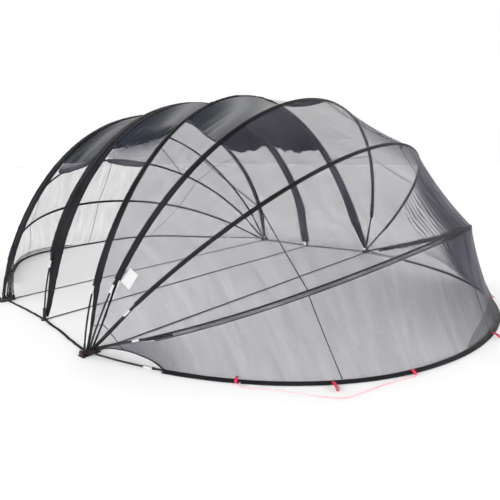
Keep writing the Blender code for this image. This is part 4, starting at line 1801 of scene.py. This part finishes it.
@dataclass(frozen=True)
class GroundStraps:
    """Every strap on the ground: three across the dome, and two along each long side.

    Each field is how far a strap's end lies from the middle of the hub or foot that it meets.
    """

    hub_edge: float = 0.081
    foot_edge: float = 0.035
    hub_end: float = 0.0405
    foot_end: float = 0.0345

    def build(self) -> None:
        """Lays the straps."""
        for name, foot, edge in (("rear", REAR_HUB, self.hub_edge),
                                 ("middle", MIDDLE_FOOT, self.foot_edge),
                                 ("front", FRONT_HUB, self.hub_edge)):
            reach = foot[1] - edge
            Strap(f"cross_strap_{name}", (foot[0], -reach), (foot[0], reach)).build()
        for side in Side:
            foot = np.array([MIDDLE_FOOT[0], side.value * MIDDLE_FOOT[1]])
            for name, hub, way in (("rear", REAR_HUB, 1), ("front", FRONT_HUB, -1)):
                away = np.array([hub[0] + way * self.hub_end, side.value * hub[1]])
                touch = foot + (away - foot) / np.linalg.norm(away - foot) * self.foot_end
                Strap(f"side_strap_{name}_{side.tag}", tuple(away), tuple(touch)).build()


@dataclass(frozen=True)
class Loop:
    """A flat loop of webbing near the ground, whose two layers lie a gap apart."""

    name: str
    start: Triple
    end: Triple
    width: float = 0.020
    body: str = "front_ground"
    thickness: float = 0.0022
    arch: float = 0.014
    gap: float = 0.007

    def build(self) -> None:
        """Makes the loop, a little arched and doubled back at its end."""
        start, end = np.array(self.start), np.array(self.end)
        share = np.linspace(0, 1, 26)
        way = unit(end - start)
        across = unit(np.cross(way, UPWARDS))
        line = start + (end - start) * share[:, None]
        line[:, 2] += self.arch * np.sin(math.pi * share)
        back = line[::-1] + np.array([0.0, 0.0, self.gap])
        line = np.concatenate([line, (line[-1:] + back[:1]) / 2 + way * 0.006, back])
        columns = np.linspace(-0.5, 0.5, 4) * self.width
        strip(self.name, line[:, None] + across * columns[None, :, None], self.thickness,
              RED_WEBBING, np.array(UPWARDS), "peg", self.body)


@dataclass(frozen=True)
class GroundFixings:
    """The red loops on the front hem, their pegs, and the rings and tabs at the hubs.

    The places are those of the near side: where a loop leaves the hem, and where its peg stands.
    Pegs and rings are radii and lengths, and ring and tab give their places on the far side.
    """

    places: tuple[tuple[Pair, Pair], ...] = (
        ((2.137, -2.030), (2.178, -2.100)), ((2.706, -1.664), (2.793, -1.737)),
        ((3.060, -1.142), (3.118, -1.172)), ((3.352, 0.020), (3.434, -0.032)))
    near_only: tuple[int, ...] = (1, 4)
    pegged: tuple[int, ...] = (2, 4)
    shank: Pair = (0.0035, 0.028)
    head: Pair = (0.0125, 0.010)
    head_at: float = 0.030
    ring: Triple = (0.894, 2.535, 0.018)
    ring_size: Pair = (0.018, 0.0060)
    ring_shape: Triple = (1.1, 1.2, 1.6)
    tab: tuple[Triple, ...] = ((-1.150, 2.330, 0.012), (-1.215, 2.245, 0.008))
    tab_width: float = 0.024

    def loops(self, side: Side) -> None:
        """The loops of one side, with their pegs.

        Args:
            side: the long side.
        """
        for number, ((x, y), (peg_x, peg_y)) in enumerate(self.places, 1):
            if side is Side.FAR and number in self.near_only:
                continue
            name = f"peg_{number}_{side.tag}"
            y, peg_y = -side.value * y, -side.value * peg_y
            Loop(f"{name}_loop", (x, y, 0.010), (peg_x, peg_y, 0.006)).build()
            if number in self.pegged:
                bodies = [solid("cylinder", (peg_x, peg_y, height), radius=size[0], depth=size[1],
                                vertices=facets)
                          for size, height, facets in ((self.shank, self.shank[1] / 2, 20),
                                                       (self.head, self.head_at, 32))]
                hard_piece(name, bodies, PEG, "peg", "base")

    def hub_goods(self, side: Side) -> None:
        """The ring at the front hub and the tab at the rear hub of one side.

        Args:
            side: the long side.
        """
        x, y, height = self.ring
        ring = solid("torus", (x, side.value * y, height), self.ring_shape,
                     major_radius=self.ring_size[0], minor_radius=self.ring_size[1],
                     major_segments=48, minor_segments=14)
        ring.data.materials.append(RED_WEBBING.make())
        ring.name = f"front_hub_{side.tag}_ring"
        ring.data.shade_smooth()
        declare(ring, "peg", "base")
        start, end = ((x, side.value * y, height) for x, y, height in self.tab)
        Loop(f"rear_hub_{side.tag}_tab", start, end, self.tab_width, "base").build()

    def build(self) -> None:
        """Makes the fixings of both sides."""
        for side in Side:
            self.loops(side)
            self.hub_goods(side)


@dataclass(frozen=True)
class BlankTag:
    """The blank white tag that hangs from the first front hoop's near leg.

    Its upper edge and its side each run so far along the level direction, and so far upwards.
    """

    hoop: Hoop = FRONT_1
    corner: Triple = (1.174, -2.230, 0.721)
    facing: Triple = (0.325, -0.867, 0.378)
    level: Triple = (0.811, 0.050, -0.582)
    right: Pair = (0.102, 0.009)
    down: Pair = (0.038, -0.130)
    flat: Pair = (0.106, 0.140)
    thickness: float = 0.0012
    curl: float = 0.010
    wave: float = 0.006

    def build(self) -> None:
        """Makes the tag."""
        facing, level = unit(np.array([self.facing, self.level]))
        rise = np.cross(facing, level)
        right, down = (level * run + rise * height for run, height in (self.right, self.down))
        share, columns = np.linspace(0, 1, 22)[:, None], np.linspace(-0.5, 0.5, 12)[None]
        grid = np.array(self.corner) + right * (columns + 0.5)[..., None] + down * share[..., None]
        out = self.curl * share ** 2 + self.wave * np.cos(columns * 5) * (1 - share)
        piece, area = shell("blank_tag", grid + facing * out[..., None], self.thickness, TAG.make(),
                            facing)
        declare(piece, "tag", self.hoop.body)


@dataclass(frozen=True)
class CrestTab:
    """A small tab of webbing at a front hoop's crest, which starts inside the sleeve."""

    hoop: Hoop
    at: float
    width: float = 0.030
    length: float = 0.042
    tuck: float = 0.006
    droop: float = 0.016
    thickness: float = 0.0016

    def build(self) -> None:
        """Makes the tab."""
        centre, outward, forward = (row[0] for row in self.hoop.frames(np.radians([self.at])))
        rows = np.linspace(0, 1, 8)[:, None, None]
        reach = self.hoop.sleeve_width / 2 - self.tuck + self.length * rows
        grid = centre + forward * reach - outward * self.droop * rows ** 2
        columns = (self.width * np.linspace(-0.5, 0.5, 5))[None, :, None]
        grid = grid + np.cross(outward, forward) * columns
        strip(f"{self.hoop.name}_crest_tab", grid, self.thickness, WEBBING, outward, "webbing",
              self.hoop.body)


# Ropes


@dataclass(frozen=True)
class GuyRope:
    """A thin loose rope on the ground, tied to the front hem at both ends.

    Its route is the points that it passes on the near side, and its curve has more points.
    """

    side: Side
    radius: float = 0.003
    points: int = 60
    route: tuple[Triple, ...] = (
        (2.2059, -2.0846, 0.0131), (2.2262, -2.1191, 0.0080),
        (2.300, -2.095, 0.0034), (2.420, -2.018, 0.0034), (2.530, -1.965, 0.0034),
        (2.645, -1.915, 0.0034), (2.752, -1.866, 0.0034), (2.835, -1.820, 0.0034),
        (2.890, -1.760, 0.0034), (2.922, -1.685, 0.0034), (2.950, -1.600, 0.0034),
        (2.990, -1.480, 0.0034), (3.040, -1.360, 0.0034), (3.090, -1.265, 0.0034),
        (3.1300, -1.1770, 0.0080), (3.0949, -1.1582, 0.0130),
    )

    def smooth(self) -> Array:
        """Evenly spaced points on a smooth curve through the route.

        Returns:
            The points.
        """
        given = np.array(self.route)
        ends = [2 * given[0] - given[1], *given, 2 * given[-1] - given[-2]]
        fine = []
        for before, start, end, after in zip(ends, ends[1:], ends[2:], ends[3:]):
            for u in np.linspace(0, 1, 24, endpoint=False):
                fine.append(0.5 * (2 * start + (end - before) * u
                                   + (2 * before - 5 * start + 4 * end - after) * u ** 2
                                   + (3 * start - before - 3 * end + after) * u ** 3))
        fine = np.array([*fine, given[-1]])
        along = travelled(fine)
        even = np.linspace(0, along[-1], self.points)
        points = np.stack([np.interp(even, along, fine[:, axis]) for axis in range(3)], axis=1)
        points[:, 1] *= -self.side.value
        return points

    def build(self) -> None:
        """Lays the rope."""
        points = self.smooth()
        name = f"rope_{self.side.tag}"
        curve = bpy.data.curves.new(name, "CURVE")
        curve.dimensions = "3D"
        draw_curve(curve, points, self.radius, 3)
        curve.materials.append(ROPE.make())
        item = bpy.data.objects.new(name, curve)
        bpy.context.scene.collection.objects.link(item)
        declare(item, "rope", "front_ground", f"guy_rope_{self.side.tag}")


# The dome's cloth


@dataclass(frozen=True)
class DoorRoll:
    """A net door rolled up under the roof's near edge and tied at both ends.

    Its angles are those on the rear and the front hoop, in degrees, and lump is how much thicker
    its rear end is. It hangs inset inside the roof and drop below its edge, droop more between.
    The ties are shares of its length, and each pinches it.
    """

    node: str
    rear: Hoop
    front: Hoop
    angles: Pair
    radius: float = 0.022
    lump: float = 0.0
    inset: float = 0.016
    drop: float = 0.008
    droop: float = 0.004
    ties: tuple[float, ...] = (0.16, 0.84)
    pinch: float = 0.35
    tie_width: float = 0.014
    tie_thickness: float = 0.0018
    softness: float = 0.7

    def line(self, u: Array) -> Array:
        """The roll's middle line.

        Args:
            u: shares of the bay.

        Returns:
            One point for each share.
        """
        panel = Panel(f"{self.node}_line", self.rear, self.front, self.angles, (90.0, 90.0))
        middle = panel.surface(np.zeros((1, len(u))), u[None])[0][0]
        middle = middle + unit(np.array([[0.0, 0.0, 0.9]]) - middle) * self.inset
        middle[:, 2] -= self.drop + self.droop * np.sin(math.pi * u)
        return middle

    def build(self) -> None:
        """Makes the roll and its ties."""
        u = np.linspace(0.03, 0.97, 120)
        middle = self.line(u)
        way = unit(np.gradient(middle, axis=0))
        up = unit(np.cross(way, np.array([UPWARDS])))
        side = np.cross(up, way)
        turn = np.linspace(0, 2 * math.pi, 20, endpoint=False)[None]
        run = travelled(middle)[:, None]
        size = self.radius * (1 + 0.16 * ripple(81, run * 5.0, turn / 6.3))
        size = size * (1 + self.lump * np.exp(-((run / 0.22) ** 2)))
        size = size + 0.0022 * np.sin(turn * 5 + run * 26)
        for tie in self.ties:
            size = size * (1 - self.pinch * np.exp(-(((u[:, None] - tie) / 0.016) ** 2)))
        size = size * np.clip(np.minimum(u - 0.02, 0.98 - u) * 30, 0.25, 1)[:, None]
        rings = middle[:, None] + up[:, None] * (size * np.cos(turn))[..., None]
        rings = rings + side[:, None] * (size * np.sin(turn))[..., None]
        item = tube(f"{self.node}_net", rings, ROLLED.make())
        declare(item, "mesh_cloth", "base", self.node)
        closed = np.append(turn[0], turn[0][:1] + 2 * math.pi)[:, None]
        for number, tie in enumerate(self.ties, 1):
            row = int(np.argmin(np.abs(u - tie)))
            rows = np.linspace(-0.5, 0.5, 3)[:, None, None] * self.tie_width * way[row]
            ring = middle[row] + (up[row] * np.cos(closed)
                                  + side[row] * np.sin(closed)) * self.radius * 0.80
            strip(f"{self.node}_tie_{number}", ring[None] + rows, self.tie_thickness, WEBBING,
                  up[row], "webbing", "base")


@dataclass
class DomeCloth:
    """Every sheet of the dome, with its seam tapes. Edges and seams are angles in degrees."""

    roof_near: Triple = (44.0, 48.2, 49.0)
    roof_far: float = 127.0
    hub_seam: float = 6.2
    seams: Triple = (48.0, 90.0, 132.0)
    binding: Pair = (0.016, 0.0030)

    def net(self, panel: Panel, node: str | None = None, finish: ClothFinish = NET,
            hold: Hold = Hold.STRETCHED) -> None:
        """Makes a panel of net."""
        panel.sheet(finish, NET_THICKNESS, node)

    def roof(self, panel: Panel, node: str) -> None:
        """Makes a panel of roof cloth, whose inner face is duller and has painted shade."""
        panel.sheet(ROOF, CLOTH_THICKNESS, node, ROOF_INSIDE_SHADED)

    def fan(self) -> None:
        """The net gores of both fans."""
        crest = Bunch(85.0, 128.0, 0.36, soft=22.0)
        front_3 = (Pulls(93.0, 150.0, 2.3, 0.022, 1.0, 5, 3.0), Bunch(90.0, 136.0, 0.62),
                   crest)
        front_4 = (Rays(133.0, 106.0, 166.0, 2.8, 0.022, 1.15, 9), Bunch(92.0, 140.0, 0.90),
                   Bunch(-30.0, 26.0, 0.30, soft=16.0), crest)
        bays = [
            (REAR_GROUND, REAR_3, "rear_gore_4", (), None),
            (REAR_3, REAR_2, "rear_gore_3", (), None),
            (REAR_2, REAR_1, "rear_gore_2", (), None),
            (REAR_1, REAR_ARCH, "rear_gore_1", (), None),
            (FRONT_1, FRONT_2, "front_gore_2", (crest,), None),
            (FRONT_2, FRONT_3, "front_gore_3", front_3, (94.0, 150.0)),
            (FRONT_3, FRONT_GROUND, "front_gore_4", front_4, (100.0, 165.0)),
        ]
        for behind, ahead, node, folds, fine in bays:
            rows, columns = (480, 56) if fine else (190, 28)
            panel = Panel(f"{node}_net", behind, ahead, folds=folds, rows=rows, columns=columns,
                          fine=fine)
            self.net(panel, node)
            seams = self.seams
            if ahead.hub == FRONT_HUB:
                seams = (self.hub_seam, *seams, 180 - self.hub_seam)
            for number, degrees in enumerate(seams, 1):
                panel.tape(f"{node}_seam_{number}", panel.share_at(degrees), SEAM_WIDTH, SLEEVE)

    def skirts(self) -> None:
        """The second layers of net along the two ground hoops."""
        self.net(Panel("rear_skirt_net", REAR_GROUND, REAR_3, (12.0, 12.0), (80.0, 80.0),
                       span=(0.0, 0.22), lift=0.006, rows=120, columns=9, taper=(0.05, 0.8)),
                 finish=SKIRT)
        self.net(Panel("front_skirt_net", FRONT_3, FRONT_GROUND, (78.0, 78.0), (136.0, 136.0),
                       span=(0.74, 1.0), lift=0.006, rows=120, columns=12, taper=(0.45, 0.35)),
                 finish=SKIRT)

    def bindings(self) -> None:
        """The dark binding of the net's edge, from each front hub to the hem's sleeve."""
        width, thickness = self.binding
        columns = np.linspace(-0.5, 0.5, 3)[None, :, None] * width
        for side, first, last in ((Side.NEAR, 0.0, 1.0), (Side.FAR, 3.0, 2.0)):
            line = FRONT_GROUND.cloth_edge(np.linspace(first, last, 60), -1)
            way = unit(np.gradient(line, axis=0))
            across = unit(np.cross(way, np.array([UPWARDS])))
            strip(f"front_gore_4_binding_{side.tag}", line[:, None] + across[:, None] * columns,
                  thickness, SLEEVE, np.array(UPWARDS), "sleeve", FRONT_GROUND.body)

    def first_front_bay(self) -> None:
        """Net on both sides of the shade panel."""
        bay = (MAIN_ARCH, FRONT_1)
        near = Panel("front_gore_1_net_near", *bay, None, (64.0, 54.0), rows=90)
        shade = Panel("front_gore_1_shade_cloth", *bay, (64.0, 54.0), (93.0, 93.0), rows=90,
                      sag=0.09, folds=(Gathers(0.0, 0.5, 6, 0.004, 21),))
        far = Panel("front_gore_1_net_far", *bay, (93.0, 93.0), None, rows=130)
        self.net(near, "front_gore_1_near")
        self.roof(shade, "front_gore_1_shade")
        self.net(far, "front_gore_1_far")
        seams = ((near, near.share_at(self.hub_seam), SEAM_WIDTH),
                 (near, near.share_at(self.seams[0]), SEAM_WIDTH), (near, 0.998, 0.010),
                 (far, far.share_at(self.seams[2]), SEAM_WIDTH),
                 (far, far.share_at(180 - self.hub_seam), SEAM_WIDTH))
        for number, (panel, share, width) in enumerate(seams, 1):
            panel.tape(f"front_gore_1_seam_{number}", share, width, SLEEVE)

    def roofs(self) -> None:
        """The opaque roof over the middle bays, with the net strip beside it."""
        rear_bay, front_bay = (REAR_ARCH, MIDDLE_ARCH), (MIDDLE_ARCH, MAIN_ARCH)
        rear_near, middle_near, main_near = self.roof_near
        far = (self.roof_far, self.roof_far)
        self.roof(Panel(
            "rear_roof_cloth", *rear_bay, (46.5, 52.5), far, sag=0.11, rows=190, columns=40,
            last_edge=EdgeWave(0.032, 3.2, 41),
            folds=(Gathers(1.0, 0.14, 9, 0.016, 31), Gathers(0.0, 0.10, 5, 0.008, 33),
                   Gathers(0.5, 0.5, 1.3, 0.006, 35))), "rear_roof")
        self.roof(Panel(
            "front_roof_cloth", *front_bay, (51.0, 61.5), far, sag=0.11, rows=230, columns=120,
            first_edge=EdgeWave(0.016, 14.5, 43, (0.10, 0.97), 1.3, 0.070),
            last_edge=EdgeWave(0.036, 3.4, 47),
            folds=(Gathers(1.0, 0.14, 8, 0.016, 37),
                   Gathers(0.0, 0.17, 17, 0.028, 39, (0.05, 0.97)))), "front_roof")
        self.net(Panel(
            "front_roof_net", *front_bay, (middle_near, main_near), (54.0, 65.0), rows=90,
            columns=110, sag=0.11, lift=-0.004,
            folds=(Gathers(0.9, 0.8, 15, 0.012, 39, close=0.30), Bunch(0.0, 180.0, 0.10, soft=1.0),
                   Gathers(1.0, 0.90, 0, 0.0, 39, close=0.60))))
        self.net(Panel(
            "rear_roof_net", *rear_bay, (rear_near, middle_near), (47.5, 54.0), rows=60,
            columns=50, sag=0.11, lift=-0.004,
            folds=(Bunch(0.0, 180.0, 0.40, soft=1.0),
                   Gathers(0.0, 1.3, 7, 0.010, 36, close=0.16))))

    def doors(self) -> None:
        """The two rolled doors on the near side, just outside the roof's near edge."""
        rear_near, middle_near, main_near = self.roof_near
        DoorRoll("rear_door_roll", REAR_ARCH, MIDDLE_ARCH, (rear_near - 0.8, middle_near - 0.8),
                 lump=0.35).build()
        DoorRoll("front_door_roll", MIDDLE_ARCH, MAIN_ARCH,
                 (middle_near - 0.8, main_near - 0.9)).build()

    def walls(self) -> None:
        """The net walls on the far side of the middle bays."""
        for name, bay in (("rear", (REAR_ARCH, MIDDLE_ARCH)), ("front", (MIDDLE_ARCH, MAIN_ARCH))):
            wall = WallPanel(f"{name}_wall_net", *bay, (self.roof_far, self.roof_far), None,
                             sag=0.02, rows=110, columns=40,
                             folds=(Gathers(0.0, 0.2, 7, 0.008, 51),
                                    Gathers(1.0, 0.12, 9, 0.006, 53, close=0.12)))
            self.net(wall, f"{name}_wall_far", hold=Hold.HUNG)
            wall.tape(f"{name}_wall_hem", 0.993, 0.022, SKIRT)

    def build(self) -> None:
        """Makes every sheet."""
        self.fan()
        self.skirts()
        self.bindings()
        self.first_front_bay()
        self.roofs()
        self.doors()
        self.walls()


# Order of work


def main() -> None:
    """Builds the scene."""
    logging.basicConfig(level=logging.INFO, format="%(name)s %(message)s")
    Studio().build()
    for side in Side:
        GuyRope(side).build()
        PivotHub(f"front_hub_{side.tag}", FRONT_HUB[0], side.value * FRONT_HUB[1]).build()
        PivotHub(f"rear_hub_{side.tag}", REAR_HUB[0], side.value * REAR_HUB[1]).build()
        ArchFoot(side).build()
    for hoop in HOOPS:
        PoleSet(hoop).build()
    NetSleeveTrim(FRONT_3).build()
    GroundStraps().build()
    GroundFixings().build()
    BlankTag().build()
    CrestTab(FRONT_1, 88.0).build()
    CrestTab(FRONT_2, 91.0).build()
    DomeCloth().build()


if __name__ == "__main__":
    main()
